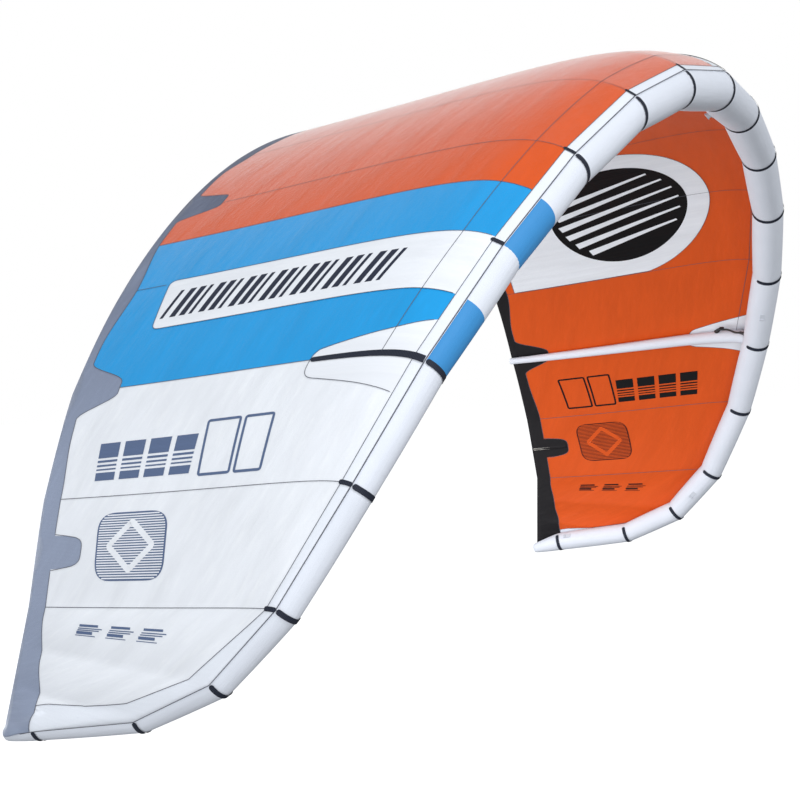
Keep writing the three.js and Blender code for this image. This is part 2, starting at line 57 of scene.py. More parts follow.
PANEL_LENGTHS = [0.570, 0.570, 0.570, 0.570, 0.550, 0.505, 0.490, 0.360, 0.360, 0.465, 0.175]
PANEL_SWEEPS = [2.5, 5, 8.5, 13, 18, 21.5, 29, 45, 67, 83, 75]  # degrees
ARC_STEP = 10.8  # degrees
TUBE_RADIUS = 0.098
TUBE_TAPER = 0.0042
TIP_RADIUS = 0.030
TIP = len(PANEL_LENGTHS)
CHORD_TERMS = [1.905, -1.420, -1.090]
WASHOUT = -9.5
LAST_FULL_RIB = 7
TIP_RIB_PLACES = {8: 0.3, 9: 0.6, 10: 0.86, 11: 1.0}
LEAVE_ANGLE = [130, -54]
LIFT = [0.18, -0.39]
LEAST_LIFT = 0.02
TAIL_ANGLE = [5.1, -13.6]
TAIL_HANDLE = 0.7
BAY_BULGE = 0.013
BULGE_FADES = [0.15, 0.75]
TRAILING_BULGE = ([0, 4, 7], [1.0, 1.0, 0.0])  # stations, and the share kept at the very edge
CLOTH_GAP = 0.0025
STRUT_STATION = 5
STRUT_RADII = [0.040, 0.020]
STRUT_SEAT = 0.6
STRUT_OVERHANG = 0.012
FAIRING_REACH = 0.35
STRUT_CLEARANCE = 0.003
RIB_STEPS = 400
HOSE = {
    "radius": 0.006, "offset": 0.075, "reach": 0.135, "stand_off": 0.005, "strut_gap": 0.007,
    "straight": 0.034, "handle": 0.42,
}
BATTENS = {"stations": [3, 6.5], "length": 0.200, "inset": 0.012}
CURVE_STEPS = 200

RIGHT, LEFT = 1, -1
STRUTS = [("C", 0, RIGHT), ("R", STRUT_STATION, RIGHT), ("L", STRUT_STATION, LEFT)]


# ---- small geometry helpers

def unit(v):
    return v / np.linalg.norm(v, axis=-1, keepdims=True)


def smooth(t):
    t = np.clip(t, 0, 1)
    return t * t * (3 - 2 * t)


def square_law(terms, station):
    return terms[0] + terms[1] * (station / TIP) ** 2


def circle(count):
    """Angles evenly round a circle."""
    return np.radians(np.linspace(0, 360, count, endpoint=False))


def bezier(corners, count):
    """Points of the curve from the first corner to the last, pulled by those between."""
    t = np.linspace(0, 1, count)[:, None]
    while len(corners) > 1:
        corners = [a * (1 - t) + b * t for a, b in zip(corners, corners[1:])]
    return corners[0]


def run_along(points):
    """The length covered at each of a line of points."""
    return np.concatenate([[0], np.cumsum(np.linalg.norm(np.diff(points, axis=0), axis=1))])


def at_places(points, marks, places):
    """A line of points read at the places, where marks holds the place of each point."""
    return np.stack([np.interp(places, marks, column) for column in points.T], axis=1)


# ---- shape of the wing

def arch_directions(angle):
    span = np.array([math.cos(angle), 0, -math.sin(angle)])
    out = np.array([math.sin(angle), 0, math.cos(angle)])
    return span, out


def panel_direction(i):
    span, _ = arch_directions(math.radians(ARC_STEP) * (i + 0.5))
    sweep = math.radians(PANEL_SWEEPS[i])
    return span * math.cos(sweep) + np.array([0, math.sin(sweep), 0])


class Station:
    """A seam of the leading edge: its centre, the tube's frame and the rib's frame there."""

    def __init__(self, j, centre):
        self.j = j
        self.centre = centre
        self.span, self.out = arch_directions(math.radians(ARC_STEP) * j)
        before, after = max(j - 1, 0), min(j, TIP - 1)
        self.tube, sweep = np.array([1.0, 0, 0]), 0.0
        if j > 0:
            self.tube = unit(panel_direction(before) + panel_direction(after))
            sweep = math.radians(PANEL_SWEEPS[before] + PANEL_SWEEPS[after]) / 2
        washout = math.radians(WASHOUT) * (j / TIP) ** 2
        self.chord = np.array([0, math.cos(washout), 0]) + self.out * math.sin(washout)
        side = self.chord * math.cos(sweep) - self.span * math.sin(sweep)
        self.cloth_side = unit(side - self.tube * side.dot(self.tube))
        self.tube_out = np.cross(self.tube, self.cloth_side)
        self.radius = TIP_RADIUS if j == TIP else TUBE_RADIUS - TUBE_TAPER * j
        self.leave = math.radians(square_law(LEAVE_ANGLE, j))

    def on_tube(self, angle, radius):
        angle = np.asarray(angle)[..., None]
        return self.centre + radius * (self.cloth_side * np.cos(angle) + self.tube_out * np.sin(angle))


def make_stations():
    centre = np.zeros(3)
    stations = []
    for j in range(TIP + 1):
        if j > 0:
            centre = centre + panel_direction(j - 1) * PANEL_LENGTHS[j - 1]
        stations.append(Station(j, centre))
    for s in stations:
        s.front = s.on_tube(s.leave, s.radius + CLOTH_GAP)
    for s in stations[:LAST_FULL_RIB + 1]:
        square = (s.j / TIP) ** 2
        length = CHORD_TERMS[0] + CHORD_TERMS[1] * square + CHORD_TERMS[2] * square ** 2
        s.rear = s.centre + s.chord * length
    for s in stations[LAST_FULL_RIB + 1:]:
        place = TIP_RIB_PLACES[s.j]
        s.rear = stations[LAST_FULL_RIB].rear * (1 - place) + stations[TIP].front * place
    return stations


def rib_curve(s):
    """The cloth's line over one rib, as points at even lengths along it."""
    length = np.linalg.norm(s.rear - s.centre)
    leaving = s.cloth_side * math.sin(s.leave) - s.tube_out * math.cos(s.leave)
    lift = max(square_law(LIFT, s.j), LEAST_LIFT) * length
    tail = math.sin(math.radians(max(square_law(TAIL_ANGLE, s.j), 0)))
    rear_handle = s.rear + (s.front - s.rear) * TAIL_HANDLE + s.out * TAIL_HANDLE * length * tail
    points = bezier([s.front, s.front + leaving * lift, rear_handle, s.rear], CURVE_STEPS + 1)
    run = run_along(points)
    return at_places(points, run, np.linspace(0, run[-1], CURVE_STEPS + 1))


STATIONS = make_stations()
RIBS = np.array([rib_curve(s) for s in STATIONS])
OUTS = np.array([s.out for s in STATIONS])
CENTRES = np.array([s.centre for s in STATIONS])
RADII = np.array([s.radius for s in STATIONS])
RIB_LENGTHS = np.array([run_along(rib)[-1] for rib in RIBS])


def rib_length(station):
    return np.interp(station, range(TIP + 1), RIB_LENGTHS)


def clear_of_tube(points):
    """Pushes cloth points straight out of the leading edge where they would sink into it."""
    for i in range(TIP):
        axis = CENTRES[i + 1] - CENTRES[i]
        place = np.clip((points - CENTRES[i]) @ axis / axis.dot(axis), 0, 1)
        nearest = CENTRES[i] + place[:, None] * axis
        needed = RADII[i] + (RADII[i + 1] - RADII[i]) * place + CLOTH_GAP
        away = points - nearest
        distance = np.linalg.norm(away, axis=1)
        sunk = distance < needed
        points[sunk] = nearest[sunk] + away[sunk] * (needed[sunk] / distance[sunk])[:, None]
    return points


def cloth_points(station, fraction):
    """Right half of the canopy: station 0 at the middle seam to 11 at the tip end, fraction 0 at
    the leading edge to 1 at the trailing edge."""
    station, fraction = np.broadcast_arrays(np.asarray(station, float), np.asarray(fraction, float))
    shape = station.shape
    station = np.abs(station.ravel())
    fraction = np.clip(fraction.ravel(), 0, 1)
    j = np.minimum(station.astype(int), TIP - 1)
    across = (station - j)[:, None]
    k = np.minimum((fraction * CURVE_STEPS).astype(int), CURVE_STEPS - 1)
    step = (fraction * CURVE_STEPS - k)[:, None]
    ends = [RIBS[rib, k] * (1 - step) + RIBS[rib, k + 1] * step for rib in (j, j + 1)]
    out = unit(OUTS[j] * (1 - across) + OUTS[j + 1] * across)
    lost = 1 - np.interp(station, *TRAILING_BULGE)
    tail = smooth((fraction - BULGE_FADES[1]) / (1 - BULGE_FADES[1]))
    loose = (smooth(fraction / BULGE_FADES[0]) * (1 - lost * tail))[:, None]
    points = ends[0] * (1 - across) + ends[1] * across
    points = points + out * BAY_BULGE * 4 * across * (1 - across) * loose
    return clear_of_tube(points).reshape(shape + (3,))


PROBE = 0.004  # step in station and fraction that finds the cloth's slope


def on_cloth(side, station, fraction, lift=0.0):
    """Cloth points on either half, lifted off the surface (outward is positive)."""
    station = np.clip(station, PROBE, TIP - 2 * PROBE)
    fraction = np.clip(fraction, 0, 1)
    points = cloth_points(station, fraction)
    if lift:
        along = cloth_points(station + PROBE, fraction) - cloth_points(station - PROBE, fraction)
        back, ahead = np.clip(fraction + PROBE, 0, 1), np.clip(fraction - PROBE, 0, 1)
        chordwise = cloth_points(station, back) - cloth_points(station, ahead)
        points = points + unit(np.cross(along, chordwise)) * lift
    return points * [side, 1, 1]


def on_tube(side, panel, place, angle, lift=0.0):
    """Points on the leading edge: place 0 to 1 along a panel, angle round it (0 rearwards)."""
    ends = [STATIONS[k].on_tube(angle, STATIONS[k].radius + lift) for k in (panel, panel + 1)]
    return (ends[0] * (1 - place) + ends[1] * place) * [side, 1, 1]


# ---- mesh helpers

FACES = (1, -1)  # outer and inner face of the cloth
STRIP_PLACES = (-1, -0.5, 0, 0.5, 1)
LEAST_SHARE = 0.0004  # of a strip's width, squared, at the point of a round end


def add_object(name, data):
    obj = bpy.data.objects.new(name, data)
    bpy.context.scene.collection.objects.link(obj)
    return obj


def place_by_axes(obj, place, *axes):
    """Puts an object at a place with its own x, y and z along the three axes."""
    turned = Matrix([list(row) for row in zip(*axes)]).to_4x4()
    obj.matrix_world = Matrix.Translation(place) @ turned


def make_object(name, points, faces, materials, uvs=None, slots=None, corners=None):
    """A smooth mesh. corners says which of the uvs each face corner takes, if not its point's."""
    mesh = bpy.data.meshes.new(name)
    mesh.from_pydata([tuple(p) for p in points], [], faces)
    for m in materials:
        mesh.materials.append(m)
    if slots is not None:
        mesh.polygons.foreach_set("material_index", slots)
    if uvs is not None:
        layer = mesh.uv_layers.new(name="metres")
        if corners is None:
            corners = [k for face in faces for k in face]
        layer.data.foreach_set("uv", np.asarray(uvs, dtype=np.float32)[corners].ravel())
    mesh.polygons.foreach_set("use_smooth", [True] * len(mesh.polygons))
    mesh.update()
    return add_object(name, mesh)


def grid_faces(rows, columns, closed=False, start=0, flip=False):
    faces = []
    for r in range(rows - 1):
        for c in range(columns if closed else columns - 1):
            d = (c + 1) % columns
            corners = [(r, c), (r, d), (r + 1, d), (r + 1, c)]
            quad = [start + row * columns + column for row, column in corners]
            faces.append(quad[::-1] if flip else quad)
    return faces


def strip_along(centre, outward, width, ends=(False, False)):
    """A flat strip along a line of points, facing outward. Its ends can be half-round."""
    across = unit(np.cross(unit(np.gradient(centre, axis=0)), unit(outward)))
    widths = np.array(np.broadcast_to(width, len(centre)), float)
    radius, length = widths.max() / 2, run_along(centre)[-1]
    run = np.linspace(0, length, len(centre))
    for is_round, distance in zip(ends, (run, length - run)):
        if is_round:
            inside = np.clip(1 - distance / radius, 0, 1)
            widths *= np.sqrt(np.maximum(1 - inside ** 2, LEAST_SHARE))
    half = across * (widths / 2)[:, None]
    return np.stack([centre + half * place for place in STRIP_PLACES], axis=1)


class Collector:
    """Gathers many small surfaces that share one look into one object."""

    def __init__(self, name, look):
        self.name, self.look = name, look
        self.points, self.uvs, self.faces, self.corners = [], [], [], []

    def add(self, grid, uv=None, closed=False, flip=False):
        """Adds a grid of points. A closed one has a last column of uvs more, where it meets itself."""
        rows, columns = grid.shape[:2]
        if uv is None:
            whole = np.concatenate([grid, grid[:, :1]], axis=1) if closed else grid
            uv = np.stack(np.meshgrid(run_along(whole[:, 0]), run_along(whole[0]), indexing="ij"), axis=-1)
        self.faces += grid_faces(rows, columns, closed, len(self.points), flip)
        for face in grid_faces(rows, uv.shape[1], start=len(self.uvs), flip=flip):
            self.corners += face
        self.points += list(grid.reshape(-1, 3))
        self.uvs += list(uv.reshape(-1, 2))

    def tube(self, rings, side, uv=None):
        """Adds rings that run outwards on the given side."""
        self.add(rings, uv, True, side == RIGHT)

    def line(self, side, stations, fractions, width, lift):
        """Adds the same line to both faces of the cloth."""
        for face in FACES:
            self.add(cloth_line(side, stations, fractions, width, face * lift))

    def shape(self, side, outline, lift):
        """Adds the same filled shape to both faces of the cloth."""
        for face in FACES:
            self.add(filled(side, outline, face * lift))

    def rim(self, side, outline, width, lift):
        """Adds a line all round an outline to both faces of the cloth."""
        loop = np.vstack([outline, outline[:2]])
        self.line(side, *loop.T, width, lift)

    def build(self, replaced=None):
        obj = make_object(self.name, self.points, self.faces, [MATERIALS[self.look]], self.uvs,
                          corners=self.corners)
        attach(obj, BODY)
        if replaced:
            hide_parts(replaced)
        return obj


# ---- materials

CLOTH_GLOSS = 0.2  # specular level of coated cloth
SHEEN_SPREAD = 0.30
NOISE_ROUGHNESS = 0.55
RIPSTOP_GRID = (0.006, 0.0009)  # pitch and width of the lines
WEAVE_GRID = (0.0012, 0.0003)
MIDDLE_RANGE = (1.4, 3.3)  # metres from the middle, where a cloth's colour runs over


class Nodes:
    """A node tree that is filled with short calls."""

    def __init__(self, tree):
        self.tree = tree

    def feed(self, socket, value):
        """Links an output to a socket, or sets the socket to a constant."""
        if isinstance(value, bpy.types.NodeSocket):
            self.tree.links.new(value, socket)
        else:
            socket.default_value = value

    def node(self, kind, feeds=None, **settings):
        made = self.tree.nodes.new("ShaderNode" + kind)
        for key, value in settings.items():
            setattr(made, key, value)
        for socket, value in (feeds or {}).items():
            self.feed(made.inputs[socket], value)
        return made

    def math(self, operation, *values):
        return self.node("Math", dict(enumerate(values)), operation=operation).outputs[0]

    def ramp(self, fac, low, high, start=0.0, end=1.0):
        feeds = {"Value": fac, "From Min": start, "From Max": end, "To Min": low, "To Max": high}
        return self.node("MapRange", feeds).outputs["Result"]


class Shader(Nodes):
    """A Principled material whose patterns lie in the cloth's own metres."""

    def __init__(self, name, color, roughness, specular=0.5, sheen=0.0):
        self.material = bpy.data.materials.new(name)
        self.material.use_nodes = True
        super().__init__(self.material.node_tree)
        self.bsdf = self.tree.nodes["Principled BSDF"]
        self.set("Base Color", (*color, 1))
        self.set("Roughness", roughness)
        self.set("Specular IOR Level", specular)
        self.set("Sheen Weight", sheen)
        self.set("Sheen Roughness", SHEEN_SPREAD)
        self.uv = self.node("UVMap", uv_map="metres").outputs["UV"]
        self.height = None

    def set(self, socket, value):
        self.feed(self.bsdf.inputs[socket], value)

    def axes(self):
        """The lengths along and across the cloth."""
        return self.node("SeparateXYZ", {0: self.uv}).outputs[:2]

    def noise(self, vector, scale, detail=3.0):
        feeds = {"Vector": vector, "Scale": scale, "Detail": detail, "Roughness": NOISE_ROUGHNESS}
        return self.node("TexNoise", feeds).outputs["Fac"]

    def streaks(self, stretch, turn, scale, detail):
        """Noise that is stretched and turned on the cloth."""
        feeds = {"Vector": self.uv, "Scale": (*stretch, 1), "Rotation": (0, 0, math.radians(turn))}
        return self.noise(self.node("Mapping", feeds).outputs["Vector"], scale, detail)

    def grid_lines(self, pitch, width):
        """1 on the lines of a square grid in the cloth's own metres, 0 between them."""
        lines = []
        for axis in self.axes():
            cell = self.math("FRACT", self.math("DIVIDE", axis, pitch))
            edge = self.math("ABSOLUTE", self.math("SUBTRACT", cell, 0.5))
            lines.append(self.math("GREATER_THAN", edge, 0.5 - width / pitch / 2))
        return self.math("MAXIMUM", *lines)

    def tint(self, fac, other, amount):
        """Mixes the base colour towards another one by fac times amount."""
        color = self.bsdf.inputs["Base Color"]
        before = color.links[0].from_socket if color.is_linked else color.default_value
        feeds = {"A": before, "B": (*other, 1), "Factor": self.math("MULTIPLY", fac, amount)}
        self.set("Base Color", self.node("Mix", feeds, data_type="RGBA").outputs["Result"])

    def bump(self, fac, distance, strength):
        feeds = {"Height": fac, "Distance": distance, "Strength": strength}
        if self.height is not None:
            feeds["Normal"] = self.height
        self.height = self.node("Bump", feeds).outputs["Normal"]
        self.set("Normal", self.height)

    def vary_roughness(self, fac, low, high):
        self.set("Roughness", self.ramp(fac, low, high))


def scaled(color, share):
    return tuple(min(c * share, 1.0) for c in color)


def ripstop(name, color, shade=0.82, graze=0.0, roughness=0.42, middle=None):
    """Thin canopy cloth: ripstop squares, slanting creases darkened with painted shade, fine wrinkles
    lightened with a painted highlight, and a silvery graze. middle is the colour that it runs to towards the
    middle of the wing."""
    shader = Shader(name, color, roughness, CLOTH_GLOSS, graze)
    if middle:
        from_middle = shader.math("ABSOLUTE", shader.axes()[1])
        shader.tint(shader.ramp(from_middle, 1.0, 0.0, *MIDDLE_RANGE), middle, amount=0.9)
    squares = shader.grid_lines(*RIPSTOP_GRID)
    shader.tint(squares, scaled(color, shade), amount=0.5)
    creases = shader.streaks((3.2, 0.8), turn=38, scale=3.0, detail=5.0)
    fine = shader.streaks((9, 2.2), turn=-32, scale=4.0, detail=4.0)
    # painted shade: the cloth's colour darkens along the slanting creases
    shader.tint(shader.ramp(creases, 0, 1, start=0.40, end=0.75), scaled(color, 0.80), amount=0.45)
    # painted highlight: the cloth's colour lightens along the raised fine wrinkles
    shader.tint(shader.ramp(fine, 0, 1, start=0.5, end=0.8), scaled(color, 1.25), amount=0.20)
    shader.bump(creases, distance=0.010, strength=0.5)
    shader.bump(fine, distance=0.002, strength=0.3)
    shader.bump(squares, distance=0.0002, strength=0.5)
    shader.vary_roughness(fine, roughness * 0.85, roughness * 1.25)
    return shader.material


def dacron(name, color):
    """Firm woven polyester of the tubes: a close weave, soft creases along the tube."""
    shader = Shader(name, color, 0.5, CLOTH_GLOSS)
    weave = shader.grid_lines(*WEAVE_GRID)
    shader.tint(weave, scaled(color, 0.8), amount=0.35)
    creases = shader.streaks((0.7, 7), turn=4, scale=5.0, detail=4.0)
    blotches = shader.noise(shader.uv, 7.0)
    shader.tint(shader.ramp(blotches, 0, 1, start=0.35, end=0.75), scaled(color, 0.88), amount=0.35)
    shader.bump(creases, distance=0.0035, strength=0.5)
    shader.bump(weave, distance=0.0001, strength=0.5)
    shader.vary_roughness(blotches, 0.42, 0.6)
    return shader.material


def tape(name, color, thread, pitch=0.006):
    """Seam tape with stitches of thread along it."""
    shader = Shader(name, color, 0.6, CLOTH_GLOSS)
    phase = shader.math("FRACT", shader.math("DIVIDE", shader.axes()[0], pitch))
    stitch = shader.math("LESS_THAN", phase, 0.45)
    shader.tint(stitch, thread, amount=0.4)
    shader.bump(stitch, distance=0.0006, strength=0.7)
    shader.bump(shader.noise(shader.uv, 900.0, 2.0), distance=0.0002, strength=0.4)
    return shader.material


def plain(name, color, roughness, grain):
    """Moulded plastic or rubber: fine grain, slight wear and uneven gloss."""
    shader = Shader(name, color, roughness)
    place = shader.node("TexCoord").outputs["Object"]
    fine = shader.noise(place, grain)
    wear = shader.noise(place, grain / 12, 5.0)
    shader.tint(shader.ramp(wear, 0, 1, start=0.5, end=0.75), scaled(color, 1.5), amount=0.4)
    shader.bump(fine, distance=0.0003, strength=0.4)
    shader.vary_roughness(wear, roughness * 0.8, min(roughness * 1.3, 1.0))
    return shader.material


ORANGE = (0.66, 0.086, 0.009)
BLUE = (0.009, 0.310, 0.700)
WHITE = (0.78, 0.81, 0.86)
NAVY = (0.012, 0.015, 0.026)
SLATE = (0.290, 0.340, 0.460)
INK = (0.004, 0.004, 0.005)

MATERIALS = {
    "orange": ripstop("ripstop_orange", ORANGE, graze=1.0),
    "blue": ripstop("ripstop_blue", BLUE, graze=1.0),
    "white": ripstop("ripstop_white", WHITE, 0.95),
    "strip": dacron("strip_dacron", (0.76, 0.80, 0.87)),
    "band_left": ripstop("band_slate", SLATE, 0.45, 0.1, 0.55, (0.050, 0.060, 0.110)),
    "band_right": ripstop("band_black", (0.012, 0.011, 0.013), 0.5, 0.0, 0.55),
    "casing": dacron("casing_dacron", (0.73, 0.77, 0.85)),
    "casing_blue": dacron("casing_blue", (0.050, 0.27, 0.60)),
    "seam": tape("seam_tape", NAVY, (0.045, 0.055, 0.085)),
    "stitch": tape("stitch_line", (0.060, 0.065, 0.085), (0.30, 0.31, 0.36), 0.005),
    "print_dark": ripstop("print_dark", (0.020, 0.026, 0.050), 0.6, 0.0, 0.5),
    "print_slate": ripstop("print_slate", (0.100, 0.145, 0.260), 0.6, 0.0, 0.5),
    "print_black": ripstop("print_black", INK, 0.6, 0.0, 0.55),
    "print_brown": ripstop("print_brown", (0.075, 0.012, 0.006), 0.6, 0.0, 0.5),
    "rubber": plain("hose_rubber", (0.008, 0.008, 0.009), 0.45, 400),
    "plastic": plain("clamp_plastic", (0.014, 0.014, 0.017), 0.35, 500),
    "valve": plain("valve_plastic", (0.60, 0.62, 0.66), 0.35, 500),
    "webbing": tape("webbing", (0.66, 0.70, 0.77), (0.40, 0.43, 0.48), 0.003),
    "batten": plain("batten_fibreglass", (0.62, 0.61, 0.56), 0.4, 300),
    "film": plain("bladder_film", (0.62, 0.65, 0.68), 0.3, 60),
}

# ---- canopy

CLOTH_END = 10.9
CLOTH_THICKNESS = 0.0012
STRIP_EDGE = [(0, 0.044), (5, 0.047), (7, 0.039), (7.9, 0.091), (8.7, 0.135), (9.2, 0.33), (11, 0.33)]
BAND_EDGE = [  # station and width of the dark trailing-edge band
    (0, 0.080), (1, 0.088), (1.6, 0.094), (2, 0.077), (2.4, 0.034), (2.75, 0.040), (3.4, 0.041),
    (4, 0.083), (4.6, 0.045), (5.4, 0.065), (6, 0.089), (7.2, 0.089), (8.2, 0.117), (9, 0.146), (11, 0.175),
]
TABS = [  # station, reach, half width at the tip and at the root
    (0.0, 0.240, 0.08, 0.24),
    (2.96, 0.232, 0.07, 0.21),
    (5.0, 0.244, 0.05, 0.27),
]
BATTEN_TAB = (6.5, 0.238, 0.155)  # station, reach, half width; its corners are round
UPPER_BLUE = 3.47  # border between the orange and the upper blue panel
LOWER_BLUE = 4.48  # lower border of the white stripe
STRIP_ROWS = 5
BODY_ROWS = 60
BODY_CROWDING = 1.35  # crowds the body's rows towards the leading edge
BAND_ROWS = 7
COLUMNS = (18, 12)  # a panel, before and after the last full rib
TAB_COLUMNS = [(0, 0.3, 14), (2.96, 0.22, 26), (5, 0.28, 28), (6.5, 0.16, 40)]  # place, half width, count
LEAST_PITCH = 0.006  # stations between a column and a seam or border


def eased(station, places):
    """A width that runs smoothly through (station, width) places."""
    stations, widths = np.array(places, float).T
    k = np.clip(np.searchsorted(stations, station, side="right") - 1, 0, len(stations) - 2)
    share = smooth((station - stations[k]) / (stations[k + 1] - stations[k]))
    return widths[k] + (widths[k + 1] - widths[k]) * share


def band_fraction(station):
    """Where the trailing-edge band begins."""
    station = np.abs(np.asarray(station, float))
    width = eased(station, BAND_EDGE)
    for place, reach, top, root in TABS:
        width = width + (reach - width) * smooth((root - np.abs(station - place)) / (root - top))
    place, reach, half = BATTEN_TAB
    inside = np.clip(1 - (np.abs(station - place) / half) ** 4, 0, 1) ** 0.25
    width = np.maximum(width, reach * inside)
    return np.clip(1 - width / np.maximum(rib_length(station), 0.01), 0.004, 1)


def strip_fraction(station):
    """Where the pale front strip ends."""
    station = np.abs(np.asarray(station, float))
    width = np.interp(station, *np.array(STRIP_EDGE).T)
    return np.minimum(width / rib_length(station), band_fraction(station) - 0.003)


def canopy_columns():
    wide, narrow = COLUMNS
    half = [k / wide for k in range(LAST_FULL_RIB * wide)]
    half += [LAST_FULL_RIB + k / narrow for k in range(int(narrow * (CLOTH_END - LAST_FULL_RIB)) + 1)]
    for place, half_width, count in TAB_COLUMNS:
        half += list(place - half_width * np.cos(np.linspace(0, math.pi, count)))
    borders = [float(j) for j in range(TIP)] + [UPPER_BLUE, LOWER_BLUE, CLOTH_END]
    half = [s for s in half if s > 0 and all(abs(s - b) > LEAST_PITCH for b in borders)]
    return np.array(sorted(set(half + borders)))


def panel_colour(side, station):
    if side == RIGHT or station < UPPER_BLUE:
        return "orange"
    return "blue" if station < STRUT_STATION else "white"


def build_canopy():
    half = canopy_columns()
    signed = np.concatenate([-half[::-1], half[1:]])
    station, sign = np.abs(signed), np.sign(signed)[:, None]
    strip, band = strip_fraction(station)[:, None], band_fraction(station)[:, None]
    body = np.linspace(0, 1, BODY_ROWS + 1)[1:] ** BODY_CROWDING
    fraction = np.concatenate([
        strip * np.linspace(0, 1, STRIP_ROWS), strip + (band - strip) * body,
        band + (1 - band) * np.linspace(0, 1, BAND_ROWS)[1:]], axis=1)
    points = cloth_points(station[:, None], fraction)
    points[..., 0] *= sign
    run = np.interp(station, range(TIP + 1), np.concatenate([[0], np.cumsum(PANEL_LENGTHS)]))
    uv = np.stack(np.broadcast_arrays(fraction * rib_length(station)[:, None], run[:, None] * sign), axis=-1)
    looks = ["strip", "orange", "blue", "white", "band_left", "band_right"]
    slots = []
    for middle in (signed[:-1] + signed[1:]) / 2:
        side = RIGHT if middle > 0 else LEFT
        column = ["strip"] * (STRIP_ROWS - 1) + [panel_colour(side, abs(middle))] * BODY_ROWS
        column += ["band_right" if side == RIGHT else "band_left"] * (BAND_ROWS - 1)
        slots += [looks.index(look) for look in column]
    canopy = make_object("canopy", points.reshape(-1, 3), grid_faces(*fraction.shape),
                         [MATERIALS[look] for look in looks], uv.reshape(-1, 2), slots)
    modifier = canopy.modifiers.new("thickness", "SOLIDIFY")
    modifier.thickness = CLOTH_THICKNESS
    modifier.offset = 0
    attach(canopy, BODY)
    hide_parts(*[f"canopy_{part}_{side}" for part in ("centre", "shoulder", "wing", "tip")
                          for side in "RL"], "te_band_R", "te_band_L")
    return canopy


# ---- lines and prints on the cloth

PRINT_LIFT = 0.0016
LAYER = 0.0006  # a print on another print lies this much higher
LINE_LIFT = 0.0026
PATCH_STEP = 0.012  # between the columns and between the rows of a filled print
SEAM_WIDTH = 0.0026
SEAM_ENDS = (0.02, 10.4)  # first and last station of the spanwise seams
FRONT_SEAM_PLACE = 0.002
FRONT_SEAM_STATIONS = [0, 6, 8, 11]
FRONT_SEAM_WIDTHS = {LEFT: [0.0050, 0.0045, 0.0028, 0.0020], RIGHT: [0.0020, 0.0020, 0.0018, 0.0016]}
FRONT_SEAM = (0.148, 0.006)  # spanwise seam behind the strip: base, growth a station
STRIPE = (3.97, LOWER_BLUE, 0.845)  # white stripe on the left: borders, rear end
STRIPE_FRONT = 4.2  # station where its front end meets the front strip
STRIPE_LEAN = 0.012  # of its rear end
STRIPE_CORNER = 0.035
STRIPE_GAP = 0.02  # between its rear end and the rib seam that it hides
STRIPE_BARS = {
    "count": 22, "rear": 0.815, "front": 0.195, "top": 4.10, "bottom": 4.38, "lean": 0.010,
    "fills": (0.35, 0.62),  # every third bar is thin
}
DISC_PLACE = (3.07, 0.51)  # station and fraction
DISC_RADIUS = 0.410
DISC_PANEL_RADIUS = 0.540
DISC_PANEL = (2.06, 3.992, 0.925)  # borders, rear end
DISC_PANEL_GAPS = (0.03, 0.05)  # from the round end to the straight sides, from these to the rear end
DISC_BARS = {"count": 6, "spread": 0.58, "slope": 0.28, "reach": 0.90, "widths": (0.046, 0.014)}
MARK_STATIONS = {"solid": (5.53, 5.86), "outlined": (5.43, 5.88)}
MARK_SPANS = {  # fractions, rear to front
    LEFT: {"solid": (0.832, 0.500), "outlined": (0.484, 0.290)},
    RIGHT: {"solid": (0.572, 0.206), "outlined": (0.800, 0.585)},
}
MARK_BANDS = [(0.0, 0.40), (0.46, 0.52), (0.58, 0.63), (0.69, 0.73), (0.79, 1.0)]
BLOCKS = {"count": 4, "fill": 0.80, "lean": 0.014}
FRAMES = {"lean": 0.030, "corner": 0.010, "line": 0.011, "split": 0.54, "lap": 0.008}
PATCH_CORNERS = [(6.16, 0.782), (6.77, 0.740), (6.77, 0.470), (6.16, 0.538)]
PATCH = {"corner": 0.085, "lines": 26, "line": 0.0048, "lap": 0.006}
DIAMOND = [(-0.215, 0), (0, -0.082), (0.215, 0), (0, 0.082)]
DIAMOND_LINE = 0.024
DIAMOND_CORNER = 0.012
SMALL_MARKS = (7.37, (0.735, 0.590, 0.445))  # first station; rear end of each
SMALL_BARS = [  # station past the first, length, width
    (0.000, 0.085, 0.009), (0.055, 0.110, 0.004), (0.090, 0.100, 0.004), (0.140, 0.075, 0.011),
    (0.195, 0.095, 0.003),
]


def cloth_line(side, stations, fractions, width, lift, ends=(False, False)):
    """A sewn line or tape that follows the cloth through the given places."""
    centre = on_cloth(side, stations, fractions, lift)
    outward = on_cloth(side, stations, fractions, lift + 0.01) - centre
    return strip_along(centre, outward, width, ends)


def spans(outline, stations):
    """The lowest and the highest fraction inside an outline at each of the stations."""
    low, high = np.full(len(stations), np.inf), np.full(len(stations), -np.inf)
    closed = np.vstack([outline, outline[:1]])
    for (s0, f0), (s1, f1) in zip(closed, closed[1:]):
        crossed = (stations >= min(s0, s1) - 1e-9) & (stations <= max(s0, s1) + 1e-9)
        if abs(s1 - s0) < 1e-9:
            places = [f0, f1]
        else:
            places = [f0 + (f1 - f0) * np.clip((stations[crossed] - s0) / (s1 - s0), 0, 1)]
        for place in places:
            low[crossed] = np.minimum(low[crossed], place)
            high[crossed] = np.maximum(high[crossed], place)
    return low, high


